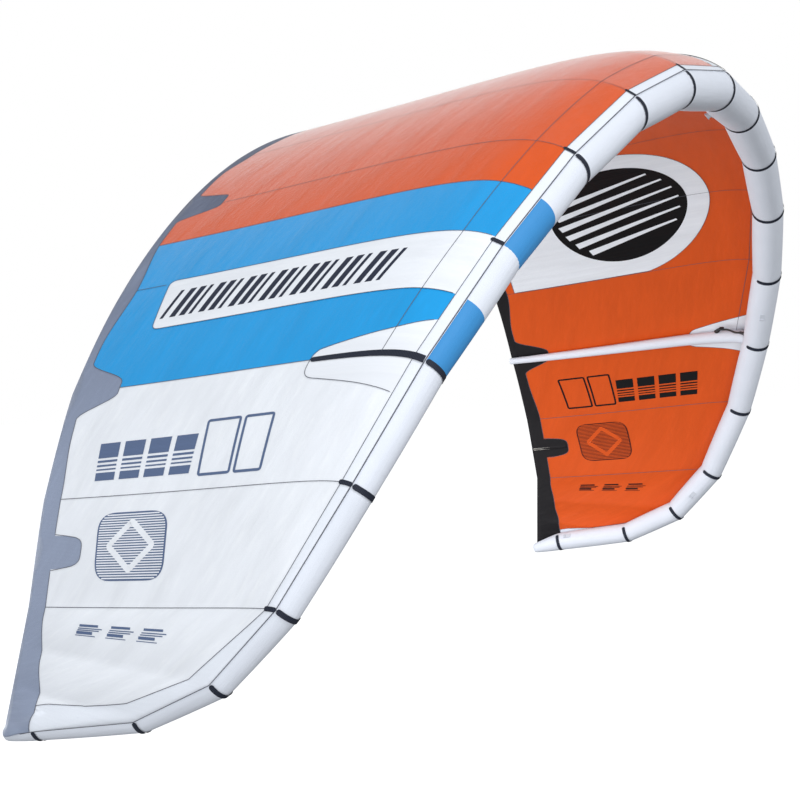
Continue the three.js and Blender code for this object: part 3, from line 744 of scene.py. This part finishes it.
def filled(side, outline, lift, step=PATCH_STEP):
    """A filled shape on the cloth, inside an outline in (station, fraction). No face of it
    crosses a rib seam, where the cloth has a crease."""
    outline = np.asarray(outline, float)
    first, last = outline[:, 0].min(), outline[:, 0].max()
    count = max(int((last - first) * PANEL_LENGTHS[int(first)] / step), 5)
    columns = first + (last - first) * (1 - np.cos(np.linspace(0, math.pi, count))) / 2
    columns = np.union1d(columns, [float(j) for j in range(TIP) if first < j < last])
    low, high = spans(outline, columns)
    rows = max(int((high - low).max() * float(rib_length(first)) / step), 4)
    fractions = low[:, None] + (high - low)[:, None] * np.linspace(0, 1, rows)
    return on_cloth(side, columns[:, None], fractions, lift)


def rounded_outline(corners, radius, scale, steps=9):
    """Corners in (station, fraction) joined by round ones; scale gives metres for each. radius is
    one number, or one for each corner."""
    corners = np.asarray(corners, float) * scale
    points = []
    for k, reach in enumerate(np.broadcast_to(radius, len(corners))):
        corner = corners[k]
        before, after = (unit(corners[n % len(corners)] - corner) * reach for n in (k - 1, k + 1))
        points += [corner] if reach == 0 else list(bezier([corner + before, corner, corner + after], steps))
    edges = []
    for k, point in enumerate(points):
        other = points[(k + 1) % len(points)]
        count = max(int(np.linalg.norm(other - point) / PATCH_STEP), 1)
        edges += [point + (other - point) * n / count for n in range(count)]
    return np.array(edges) / scale


def scale_at(station):
    """Metres for one station along the span and for a whole chord, near a place on the cloth."""
    return np.array([PANEL_LENGTHS[int(station)], float(rib_length(station))])


def behind_strip(outline, station):
    """The part of an outline that is clear of the front strip, whose edge is read at the station."""
    return outline[outline[:, 1] > float(strip_fraction(station)) + 0.001]


def leaning_box(top, bottom, back, ahead, leans):
    """Corners of a box between two stations, shifted rearwards at the top and at the bottom."""
    return [(top, back + leans[0]), (bottom, back + leans[1]),
            (bottom, ahead + leans[1]), (top, ahead + leans[0])]


def build_seams():
    stitch = Collector("cloth_seams", "stitch")
    fronts = []
    base, growth = FRONT_SEAM
    whole, inner = np.linspace(*SEAM_ENDS, 560), np.linspace(SEAM_ENDS[0], STRUT_STATION, 200)
    for side, letter, look in ((RIGHT, "R", "webbing"), (LEFT, "L", "stitch")):
        for j in list(range(1, 8)) + ([UPPER_BLUE] if side == LEFT else []):
            behind_stripe = side == LEFT and j == 4
            first = STRIPE[2] + STRIPE_GAP if behind_stripe else float(strip_fraction(j))
            stitch.line(side, j, np.linspace(first, float(band_fraction(j)), 90), SEAM_WIDTH, LINE_LIFT)
        stitch.line(side, inner, (base + growth * inner) / rib_length(inner), SEAM_WIDTH, LINE_LIFT)
        for edge in (strip_fraction, band_fraction):
            stitch.line(side, whole, edge(whole), SEAM_WIDTH, LINE_LIFT)
        widths = np.interp(whole, FRONT_SEAM_STATIONS, FRONT_SEAM_WIDTHS[side])
        front = Collector(f"front_seam_{letter}", look)
        front.add(cloth_line(side, whole, FRONT_SEAM_PLACE, widths, LINE_LIFT))
        fronts.append(front.build())
    return [stitch.build()] + fronts


def build_stripe_panel():
    """White stripe with a round rear end, and the row of slanted bars that decorates it."""
    white, edge = Collector("stripe_panel", "white"), Collector("stripe_edge", "stitch")
    bars = Collector("stripe_bars", "print_dark")
    upper, lower, rear = STRIPE
    front = float(strip_fraction(STRIPE_FRONT))
    corners = [(upper, front), (upper, rear + STRIPE_LEAN), (lower, rear - STRIPE_LEAN), (lower, front)]
    outline = rounded_outline(corners, [0, STRIPE_CORNER, STRIPE_CORNER, 0], scale_at(upper))
    white.shape(LEFT, outline, PRINT_LIFT)
    edge.line(LEFT, *behind_strip(outline, STRIPE_FRONT).T, SEAM_WIDTH, LINE_LIFT + LAYER)
    pitch = (STRIPE_BARS["rear"] - STRIPE_BARS["front"]) / STRIPE_BARS["count"]
    leans = (-STRIPE_BARS["lean"], STRIPE_BARS["lean"])
    for n in range(STRIPE_BARS["count"]):
        back = STRIPE_BARS["rear"] - pitch * n
        ahead = back - pitch * STRIPE_BARS["fills"][min(n % 3, 1)]
        bar = leaning_box(STRIPE_BARS["top"], STRIPE_BARS["bottom"], back, ahead, leans)
        bars.shape(LEFT, bar, PRINT_LIFT + LAYER)
    return [white.build(), edge.build(), bars.build()]


def add_marks(side, dark):
    """Generic decoration where the wing carries its prints: banded blocks and outlined ones."""
    top, bottom = MARK_STATIONS["solid"]
    rear, front = MARK_SPANS[side]["solid"]
    pitch = (rear - front) / BLOCKS["count"]
    for n in range(BLOCKS["count"]):
        back, ahead = rear - n * pitch, rear - (n + BLOCKS["fill"]) * pitch
        for band in MARK_BANDS:
            first, last = (top + (bottom - top) * share for share in band)
            leans = [BLOCKS["lean"] * (1 - share) for share in band]
            dark.shape(side, leaning_box(first, last, back, ahead, leans), PRINT_LIFT)
    top, bottom = MARK_STATIONS["outlined"]
    rear, front = MARK_SPANS[side]["outlined"]
    middle = rear + (front - rear) * FRAMES["split"]
    for back, ahead in ((rear, middle + FRAMES["lap"]), (middle - FRAMES["lap"], front)):
        box = leaning_box(top, bottom, back, ahead, (FRAMES["lean"], 0))
        dark.rim(side, rounded_outline(box, FRAMES["corner"], scale_at(top)), FRAMES["line"], PRINT_LIFT)


def add_size_patch(side, block, pale):
    """A rounded square of fine stripes with a plain diamond in it."""
    corners = np.array(PATCH_CORNERS)
    upper, lower = corners[0, 0], corners[1, 0]
    scale = scale_at(upper)
    outline = rounded_outline(corners, PATCH["corner"], scale)
    block.shape(side, outline, PRINT_LIFT)
    lines = np.linspace(upper, lower, PATCH["lines"] + 2)[1:-1]
    for line, front, rear in zip(lines, *spans(outline, lines)):
        places = np.linspace(rear - PATCH["lap"], front + PATCH["lap"], 24)
        pale.line(side, line, places, PATCH["line"], PRINT_LIFT + LAYER)
    slant = (corners[[0, 3], 1].mean() - corners[[1, 2], 1].mean()) / (lower - upper)
    diamond = np.array(DIAMOND)
    diamond[:, 1] -= diamond[:, 0] * slant
    diamond = rounded_outline(diamond + corners.mean(axis=0), DIAMOND_CORNER, scale)
    pale.rim(side, diamond, DIAMOND_LINE, PRINT_LIFT + 2 * LAYER)


def add_small_marks(side, dark):
    """Three little groups of bars below the patch."""
    first, rears = SMALL_MARKS
    for rear in rears:
        for step, length, width in SMALL_BARS:
            dark.line(side, first + step, np.linspace(rear, rear - length, 10), width, PRINT_LIFT)


def disc_panel_outline(place, across):
    """A round front end about the disc, straight sides and a straight rear end."""
    upper, lower, rear = DISC_PANEL
    turn = np.radians(np.linspace(-90, 90, 91))
    nose = place + DISC_PANEL_RADIUS / across * np.stack([np.sin(turn), -np.cos(turn)], axis=1)
    nose[:, 0] = np.clip(nose[:, 0], upper, lower)
    straight = np.linspace(place[1] + DISC_PANEL_GAPS[0], rear, 40)
    end = np.linspace(lower - DISC_PANEL_GAPS[1], upper + DISC_PANEL_GAPS[1], 60)
    back = [(lower, f) for f in straight] + [(s, rear) for s in end] + [(upper, f) for f in straight[::-1]]
    return np.vstack([nose, back])


def build_disc():
    """White round-ended panel with a dark disc crossed by straight pale bars, right half only."""
    place, across = np.array(DISC_PLACE), scale_at(DISC_PLACE[0])
    white, dark = Collector("disc_panel", "white"), Collector("disc_mark", "print_black")
    lines, pale = Collector("disc_edge", "stitch"), Collector("disc_bars", "white")
    panel = disc_panel_outline(place, across)
    white.shape(RIGHT, panel, PRINT_LIFT)
    lines.rim(RIGHT, panel, SEAM_WIDTH, LINE_LIFT + LAYER)
    turn = circle(120)
    disc = place + DISC_RADIUS / across * np.stack([np.cos(turn), np.sin(turn)], axis=1)
    dark.shape(RIGHT, disc, PRINT_LIFT + LAYER)
    whole = np.linspace(-DISC_RADIUS, DISC_RADIUS, 90)
    for offset in np.linspace(-1, 1, DISC_BARS["count"]) * DISC_BARS["spread"] * DISC_RADIUS:
        aside = offset - DISC_BARS["slope"] * whole
        keep = np.hypot(whole, aside) < DISC_RADIUS * DISC_BARS["reach"]
        widths = np.linspace(*DISC_BARS["widths"], keep.sum())
        bar = place + np.stack([aside, -whole], axis=1)[keep] / across
        pale.line(RIGHT, *bar.T, widths, PRINT_LIFT + 2 * LAYER)
    return [c.build() for c in (white, dark, lines, pale)]


def build_prints():
    pieces = build_stripe_panel() + build_disc()
    sets = [(LEFT, "left", "print_slate", "print_slate", "white"),
            (RIGHT, "right", "print_black", "print_brown", "orange")]
    for side, name, marks, square, light in sets:
        dark, block, pale = (Collector(f"{name}_print_{kind}", look) for kind, look in
                             (("marks", marks), ("patch", square), ("lines", light)))
        add_marks(side, dark)
        add_size_patch(side, block, pale)
        add_small_marks(side, dark)
        pieces += [dark.build(), block.build(), pale.build()]
    return pieces


# ---- leading edge

TUBE_SIDES = 64
SEAM_PUCKER = 0.0012
PUCKER_REACH = 0.02
PUCKER_COUNT = 27  # gathers round the tube at a seam
PANEL_BARREL = 0.0020
SEAM_DIP = 0.0015
DIP_REACH = 0.008
TAPE_WIDTH = 0.026
TAPE_NARROWING = 0.0006  # at each station
TAPE_LIFT = 0.0022
TAPE_END = 362  # degrees round the tube, where a seam tape stops
SHORT_TAPES = (4, 308)  # on the right they stop sooner, from this station on
TAB_REACH = 0.010  # the short tab at a seam laps this far onto the canopy
TAB_STATIONS = (1, 2, 3, 4, 6, 7)
TAB_WIDTH = 0.018
CASING_STRIPES = {3: 0.50, 4: 0.48}  # left panels that are printed blue from this place on
TIP_DOME = 0.45  # how far the closed end stands out, in radii


def casing_rows(side, panel, first=0.0, last=1.0, rows=21):
    """Rings of one inflated panel: slightly barrelled, puckered at its two seams."""
    angles = circle(TUBE_SIDES)
    rings = []
    for place in np.linspace(first, last, rows):
        near = min(place, 1 - place) * PANEL_LENGTHS[panel]
        gathers = SEAM_PUCKER * math.exp(-near / PUCKER_REACH) * np.cos(PUCKER_COUNT * angles)
        barrel = PANEL_BARREL * math.sin(math.pi * place) - SEAM_DIP * math.exp(-near / DIP_REACH)
        rings.append(on_tube(side, panel, place, angles, (barrel + gathers)[:, None]))
    return np.array(rings)


def tube_uv(rows, panel, first, last):
    along = sum(PANEL_LENGTHS[:panel]) + PANEL_LENGTHS[panel] * np.linspace(first, last, rows)
    round_it = np.linspace(0, 2 * math.pi * TUBE_RADIUS, TUBE_SIDES + 1)
    return np.stack(np.meshgrid(along, round_it, indexing="ij"), axis=-1)


def build_casing():
    for side, letter in ((RIGHT, "R"), (LEFT, "L")):
        for panel in range(TIP - 2):
            split = CASING_STRIPES.get(panel, 1.0) if side == LEFT else 1.0
            parts = [(0.0, split, "a", "casing"), (split, 1.0, "b", "casing_blue")]
            for first, last, mark, look in parts[:1 if split == 1.0 else 2]:
                casing = Collector(f"casing_{panel + 1}{mark}_{letter}", look)
                rings = casing_rows(side, panel, first, last)
                casing.tube(rings, side, tube_uv(len(rings), panel, first, last))
                casing.build(f"le_panel_{panel + 1}_{letter}" if mark == "a" else None)
        build_tip(side, letter)


def build_tip(side, letter):
    """The last panel and the closed, drawn-in end."""
    tip = Collector(f"casing_tip_{letter}", "casing")
    rings = np.vstack([casing_rows(side, TIP - 2), casing_rows(side, TIP - 1)[1:]])
    end = STATIONS[TIP]
    centre, axis = end.centre * [side, 1, 1], end.tube * [side, 1, 1]
    dome = [centre + (rings[-1] - centre) * math.cos(a) + axis * TIP_RADIUS * TIP_DOME * math.sin(a)
            for a in np.radians(np.linspace(12, 88, 8))]
    tip.tube(np.vstack([rings, dome]), side)
    tip.build(f"le_tip_{letter}")


def tube_ring_tape(side, station, start, end, width):
    """A tape round the tube at one seam, between two angles in degrees."""
    s = STATIONS[station]
    mirror = [side, 1, 1]
    centre = s.on_tube(np.radians(np.linspace(start, end, 72)), s.radius + TAPE_LIFT) * mirror
    return strip_along(centre, centre - s.centre * mirror, width, (True, True))


def build_tube_tapes():
    tapes, tabs = Collector("tube_seam_tapes", "seam"), Collector("strip_tabs", "seam")
    for side in (RIGHT, LEFT):
        for j in range(TIP):
            if side == LEFT and j in (0, 4):
                continue
            start = math.degrees(STATIONS[j].leave)
            end = SHORT_TAPES[1] if side == RIGHT and j >= SHORT_TAPES[0] else TAPE_END
            tapes.add(tube_ring_tape(side, j, start, end, TAPE_WIDTH - TAPE_NARROWING * j))
        for j in TAB_STATIONS:
            places = np.linspace(0, float(strip_fraction(j)) + TAB_REACH / float(rib_length(j)), 24)
            tabs.add(cloth_line(side, j, places, TAB_WIDTH, LINE_LIFT + LAYER, (True, True)))
    tapes.build()
    tabs.build()


# ---- struts

ROOT_RINGS = [(0.05, 1.04), (0.02, 1.02)]  # rings inside the leading edge: reach, share of the radius
END_ANGLES = np.radians(np.linspace(15, 88, 7))
FAIRING_SIZES = {0: 0.5, STRUT_STATION: 1.0}  # share of the full size, at each strut
FAIRING_END = 0.292  # fraction where the full size ends
FAIRING_CORNERS = [(-0.30, None, 0), (-0.20, 0.107, 0.05), (-0.07, FAIRING_END, 0.04),
                   (0.15, FAIRING_END, 0.05), (0.30, None, 0)]     # None: at the front strip
BLADDER_SHARE = 0.9  # of the casing's radius
BLADDER_GAPS = (6, 12)  # rings of the casing that the bladder stops short of, at each end
STRUT_TAPE = {"places": (0, 0.3), "widths": (0.030, 0.020), "front": 0.004, "aside": 0.001, "lift": 0.0016}


def strut_line(station, count=60):
    """Centres, radii and frames of a strut, hung under the cloth of its rib."""
    s, rib, marks = STATIONS[station], RIBS[station], np.arange(CURVE_STEPS + 1)
    ahead = unit(np.gradient(rib, axis=0))
    places = np.arange(RIB_STEPS) / RIB_STEPS * CURVE_STEPS
    distance = np.interp(places, marks, (rib - s.centre) @ s.chord)
    first = places[np.argmax(distance > s.radius + STRUT_CLEARANCE)]
    index = np.linspace(first, CURVE_STEPS, count)
    here, forward = at_places(rib, marks, index), unit(at_places(ahead, marks, index))
    up = unit(np.cross(s.span, forward))
    share = index / CURVE_STEPS
    radius = STRUT_RADII[0] + (STRUT_RADII[1] - STRUT_RADII[0]) * share
    height = (here[0] - s.centre) @ s.out
    dip = max(height - radius[0] - CLOTH_GAP - STRUT_SEAT * s.radius, 0)
    fade = np.clip(1 - (share - share[0]) / FAIRING_REACH, 0, 1) ** 2
    centre = here - up * (radius + CLOTH_GAP + dip * fade)[:, None]
    return {"centre": centre, "radius": radius, "forward": forward, "up": up, "span": s.span}


def strut_rings(line, side, sides=40):
    angles = circle(sides)[:, None]
    centre, radius, forward, up = (line[key] for key in ("centre", "radius", "forward", "up"))
    rings = [(centre[0] - forward[0] * reach, radius[0] * share, up[0]) for reach, share in ROOT_RINGS]
    rings += list(zip(centre, radius, up))
    rings += [(centre[-1] + forward[-1] * STRUT_OVERHANG * math.sin(a), radius[-1] * math.cos(a) ** 0.7,
               up[-1]) for a in END_ANGLES]
    return np.array([middle + (line["span"] * np.cos(angles) + above * np.sin(angles)) * reach
                     for middle, reach, above in rings]) * [side, 1, 1]


def fairing_outline(station):
    """The patch that spreads the strut's pull into the cloth: a rounded rear end, straight sides."""
    size, front = FAIRING_SIZES[station], float(strip_fraction(station))
    corners = [(station + aside * size, front if end is None else end * size)
               for aside, end, _ in FAIRING_CORNERS]
    return rounded_outline(corners, [size * radius for *_, radius in FAIRING_CORNERS], scale_at(station))


def build_strut(letter, station, side):
    """The inflated casing and the bladder inside it."""
    casing = Collector(f"strut_casing_{letter}", "casing")
    rings = strut_rings(strut_line(station), side)
    casing.tube(rings, side)
    casing.build(f"strut_{letter}")
    bladder = Collector(f"strut_air_{letter}", "film")
    middle = rings.mean(axis=1, keepdims=True)
    inner = middle + (rings - middle) * BLADDER_SHARE
    bladder.tube(closed_ends(inner[BLADDER_GAPS[0]:-BLADDER_GAPS[1]]), side)
    bladder.build(f"strut_bladder_{letter}")


def add_fairing(fairing, edges, side, station):
    """The patch on one half of the wing, and the seam round it."""
    outline = fairing_outline(station)
    if station == 0:
        outline = outline[outline[:, 0] >= 0.0]
        outline = np.vstack([outline, [(0.0, outline[-1, 1]), (0.0, outline[0, 1])]])
    fairing.shape(side, outline, PRINT_LIFT + LAYER / 2)
    edges.line(side, *behind_strip(outline, station).T, SEAM_WIDTH, LINE_LIFT + LAYER)


def build_struts():
    tape_line, edges = Collector("strut_stitching", "seam"), Collector("fairing_edges", "stitch")
    for letter, station, side in STRUTS:
        build_strut(letter, station, side)
        fairing = Collector(f"strut_fairing_{letter}", "white")
        for half in (RIGHT, LEFT) if station == 0 else (side,):
            add_fairing(fairing, edges, half, station)
        fairing.build()
        places = np.linspace(FAIRING_END * FAIRING_SIZES[station], STRUT_TAPE["front"], 60)
        widths = np.interp(places, STRUT_TAPE["places"], STRUT_TAPE["widths"])
        tape_line.add(cloth_line(side, station + STRUT_TAPE["aside"], places, widths,
                                 LINE_LIFT + STRUT_TAPE["lift"], (True, False)))
    tape_line.build()
    edges.build()


# ---- hoses

PORT_RISE = 0.004  # the port's neck laps this far over the hose
PORT_PROFILE = [  # reach from the axis, share of the height
    (0.0060, 1.0), (0.0088, 1.0), (0.0094, 0.30), (0.0125, 0.14), (0.0180, 0.08), (0.0185, -0.06),
]
ELBOW = {"radius": 0.0078, "lap": 0.010, "ahead": 0.015}


def hose_route(station):
    """Points of the hose from the leading edge to a strut: an S, then straight along the strut."""
    s, line = STATIONS[station], strut_line(station)
    forward = line["forward"][0]
    start = s.centre - s.span * HOSE["offset"] + s.chord * (s.radius + HOSE["stand_off"])
    aside = line["radius"][0] + HOSE["radius"] + HOSE["strut_gap"]
    end = line["centre"][0] + forward * HOSE["reach"] - s.span * aside
    join = end - forward * HOSE["straight"]
    handle = HOSE["handle"] * np.linalg.norm(join - start)
    curve = bezier([start, start + s.chord * handle, join - forward * handle, join], 60)
    return np.vstack([curve, join + (end - join) * np.linspace(0, 1, 16)[1:, None]])


def tube_along(route, radius, sides=24):
    """Rings round a line of points, each turned as little as possible from the one before."""
    ahead = unit(np.gradient(route, axis=0))
    across = unit(np.cross(ahead[0], [0.3, 0.2, 1.0]))
    angles = circle(sides)[:, None]
    rings = []
    for point, forward in zip(route, ahead):
        across = unit(across - forward * across.dot(forward))
        above = np.cross(forward, across)
        rings.append(point + radius * (across * np.cos(angles) + above * np.sin(angles)))
    return np.array(rings)


def closed_ends(rings):
    """The same rings with both ends drawn in to a point."""
    ends = [np.repeat(ring.mean(axis=0)[None], len(ring), axis=0) for ring in (rings[0], rings[-1])]
    return np.concatenate([ends[0][None], rings, ends[1][None]])


def port_rings(place, normal, axis, bend, height, sides=32):
    """A moulded port: a neck on a flange that follows a tube of radius bend."""
    axis = unit(axis - normal * axis.dot(normal))
    across = np.cross(normal, axis)
    angles = circle(sides)[:, None]
    round_it = axis * np.cos(angles) + across * np.sin(angles)
    return np.array([place + round_it * reach + normal * (
        height * share - (reach * np.sin(angles)) ** 2 / (2 * bend)) for reach, share in PORT_PROFILE])


def hose_fittings(station, route):
    """Rings of the port on the leading edge, of the elbow at the strut and of the elbow's port."""
    s, line, panel = STATIONS[station], strut_line(station), max(station - 1, 0)
    axis = STATIONS[panel + 1].centre - STATIONS[panel].centre
    if station == 0:
        axis = axis * [-1, 1, 1]
    nearest = s.centre + axis * (route[0] - s.centre).dot(axis) / axis.dot(axis)
    normal = unit(route[0] - nearest)
    height = np.linalg.norm(route[0] - nearest) - s.radius + PORT_RISE
    tube_port = port_rings(nearest + normal * s.radius, normal, unit(axis), s.radius, height)
    forward, span = line["forward"][0], line["span"]
    corner = route[-1] + forward * ELBOW["ahead"]
    seat = corner + span * (HOSE["radius"] + HOSE["strut_gap"])
    elbow = tube_along(bezier([route[-1] - forward * ELBOW["lap"], corner, seat], 14), ELBOW["radius"])
    return tube_port, elbow, port_rings(seat, -span, forward, line["radius"][0], HOSE["strut_gap"])


def build_hoses():
    for letter, station, side in STRUTS:
        turn = np.array([side, 1, 1])
        route = hose_route(station)
        hose = Collector(f"hose_tube_{letter}", "rubber")
        hose.tube(closed_ends(tube_along(route, HOSE["radius"])) * turn, side)
        fittings = Collector(f"hose_fittings_{letter}", "plastic")
        for rings in hose_fittings(station, route):
            fittings.tube(closed_ends(rings) * turn, side)
        hose.build(f"hose_{letter}")
        fittings.build()


# ---- batten pockets

POCKET = {"width": 0.030, "lap": 0.018, "depth": 0.0072, "end": 0.002, "rows": 60, "taper": 24}
POCKET_SECTION = np.array([  # share of the half width, share of the depth
    (-1.0, 0.0), (-0.72, 0.15), (-0.5, 0.85), (-0.2, 1.0), (0.2, 1.0), (0.5, 0.85), (0.72, 0.15), (1.0, 0.0),
])


def build_pockets():
    """Cloth pockets over the battens on the inner face, each as dark as the band it is sewn to."""
    shares, humps = POCKET_SECTION.T
    ramp = smooth(np.linspace(0, POCKET["taper"], POCKET["rows"]))
    rises = (ramp * ramp[::-1])[:, None] * humps
    for side, look, letter in ((RIGHT, "band_right", "R"), (LEFT, "band_left", "L")):
        pockets = Collector(f"batten_pockets_{letter}", look)
        for station in BATTENS["stations"]:
            chord = float(rib_length(station))
            front = 1 - (BATTENS["inset"] + BATTENS["length"] + POCKET["lap"]) / chord
            wide = station + shares * POCKET["width"] / 2 / PANEL_LENGTHS[int(station)]
            fractions = np.linspace(front, 1 - POCKET["end"] / chord, POCKET["rows"])
            places = np.meshgrid(wide, fractions)
            base = on_cloth(side, *places)
            outward = on_cloth(side, *places, lift=1.0) - base
            depth = PRINT_LIFT + (POCKET["depth"] - PRINT_LIFT) * rises
            pockets.add(base - outward * depth[..., None])
        pockets.build()


# ---- trims that keep their CAD shape

CARRIED = {"bladder": "film", "batten": "batten", "tab": "webbing", "clamp": "plastic", "valve": "valve"}


def dress_nodes():
    for name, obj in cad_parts.items():
        for word, look in CARRIED.items():
            if word in name:
                obj.data.materials.clear()
                obj.data.materials.append(MATERIALS[look])


# ---- camera, floor and light

CAMERA_PLACE = (-8.145, -2.169, -1.117)
CAMERA_TURN = (25.44, -1.71, -3.13)  # azimuth from +X, elevation, roll, degrees
FOCAL_LENGTH = 79.6
FLOOR_DROP = 1.3
FLOOR_HALF = 60.0
FLOOR_GLOW = 0.50  # keeps the pale floor as light as the room behind it
SKY_COLOR = (0.96, 0.98, 1.0, 1)
SKY_BRIGHT_SIDE = (-0.70, 0.10, 0.70)
SKY_RANGE = (0.13, 0.87)  # strength on the dim side and on the bright side
LIGHTS = [  # place, target, size, power
    ((-5, -12, 9), (0, 0, -1), 6, 1000),
    ((-14, -7, -1), (1, 0, -1), 7, 900),
    ((-1.5, 4.5, -2.2), (2.3, 0.8, -0.8), 3, 150),
]
LIGHT_COLOR = (0.99, 0.99, 1.0)


def build_camera():
    azimuth, elevation, roll = np.radians(CAMERA_TURN)
    forward = np.array([math.cos(elevation) * math.cos(azimuth),
                        math.cos(elevation) * math.sin(azimuth), math.sin(elevation)])
    level = np.array([math.sin(azimuth), -math.cos(azimuth), 0])
    above = np.cross(level, forward)
    right = level * math.cos(roll) + above * math.sin(roll)
    up = above * math.cos(roll) - level * math.sin(roll)
    data = bpy.data.cameras.new("camera")
    data.lens = FOCAL_LENGTH
    data.sensor_width = 36
    data.clip_end = 200
    camera = add_object("camera", data)
    place_by_axes(camera, CAMERA_PLACE, right, up, -forward)
    bpy.context.scene.camera = camera


def soft_light(place, target, size, power):
    data = bpy.data.lights.new("soft_light", "AREA")
    data.shape = "DISK"
    data.size = size
    data.energy = power
    data.color = LIGHT_COLOR
    light = add_object("soft_light", data)
    light.visible_camera = False
    away = unit(np.array(place, float) - np.array(target, float))
    across = unit(np.cross([0, 0, 1], away))
    place_by_axes(light, place, across, np.cross(away, across), away)


def build_world():
    """A soft studio: bright on the kite's left and above, dimmer beyond; plain white to look at."""
    world = bpy.data.worlds.new("studio")
    world.use_nodes = True
    nodes = Nodes(world.node_tree)
    direction = nodes.node("TexCoord").outputs["Generated"]
    facing = nodes.node("VectorMath", {0: direction, 1: unit(np.array(SKY_BRIGHT_SIDE))},
                        operation="DOT_PRODUCT").outputs["Value"]
    strength = nodes.ramp(facing, *SKY_RANGE, -1, 1)
    soft = nodes.node("Background", {"Color": SKY_COLOR, "Strength": strength}).outputs[0]
    white = nodes.node("Background", {"Color": (1, 1, 1, 1)}).outputs[0]
    seen = nodes.node("LightPath").outputs["Is Camera Ray"]
    mix = nodes.node("MixShader", {0: seen, 1: soft, 2: white}).outputs[0]
    nodes.feed(nodes.tree.nodes["World Output"].inputs["Surface"], mix)
    bpy.context.scene.world = world


def build_stage():
    shader = Shader("floor", (0.9, 0.9, 0.9), 0.9, CLOTH_GLOSS)
    shader.set("Emission Color", (1, 1, 1, 1))
    shader.set("Emission Strength", FLOOR_GLOW)
    level = CAD_BOX[0][2] - FLOOR_DROP
    corners = [(x * FLOOR_HALF, y * FLOOR_HALF, level) for x, y in ((-1, -1), (1, -1), (1, 1), (-1, 1))]
    floor = make_object("floor", corners, [(0, 1, 2, 3)], [shader.material])
    floor.visible_diffuse = False
    floor.visible_glossy = False
    build_world()
    for light in LIGHTS:
        soft_light(*light)
    bpy.context.scene.view_settings.view_transform = "Standard"


build_camera()
canopy = build_canopy()
on_canopy = build_seams() + build_prints()
build_casing()
build_tube_tapes()
build_struts()
build_hoses()
build_pockets()
dress_nodes()
build_stage()
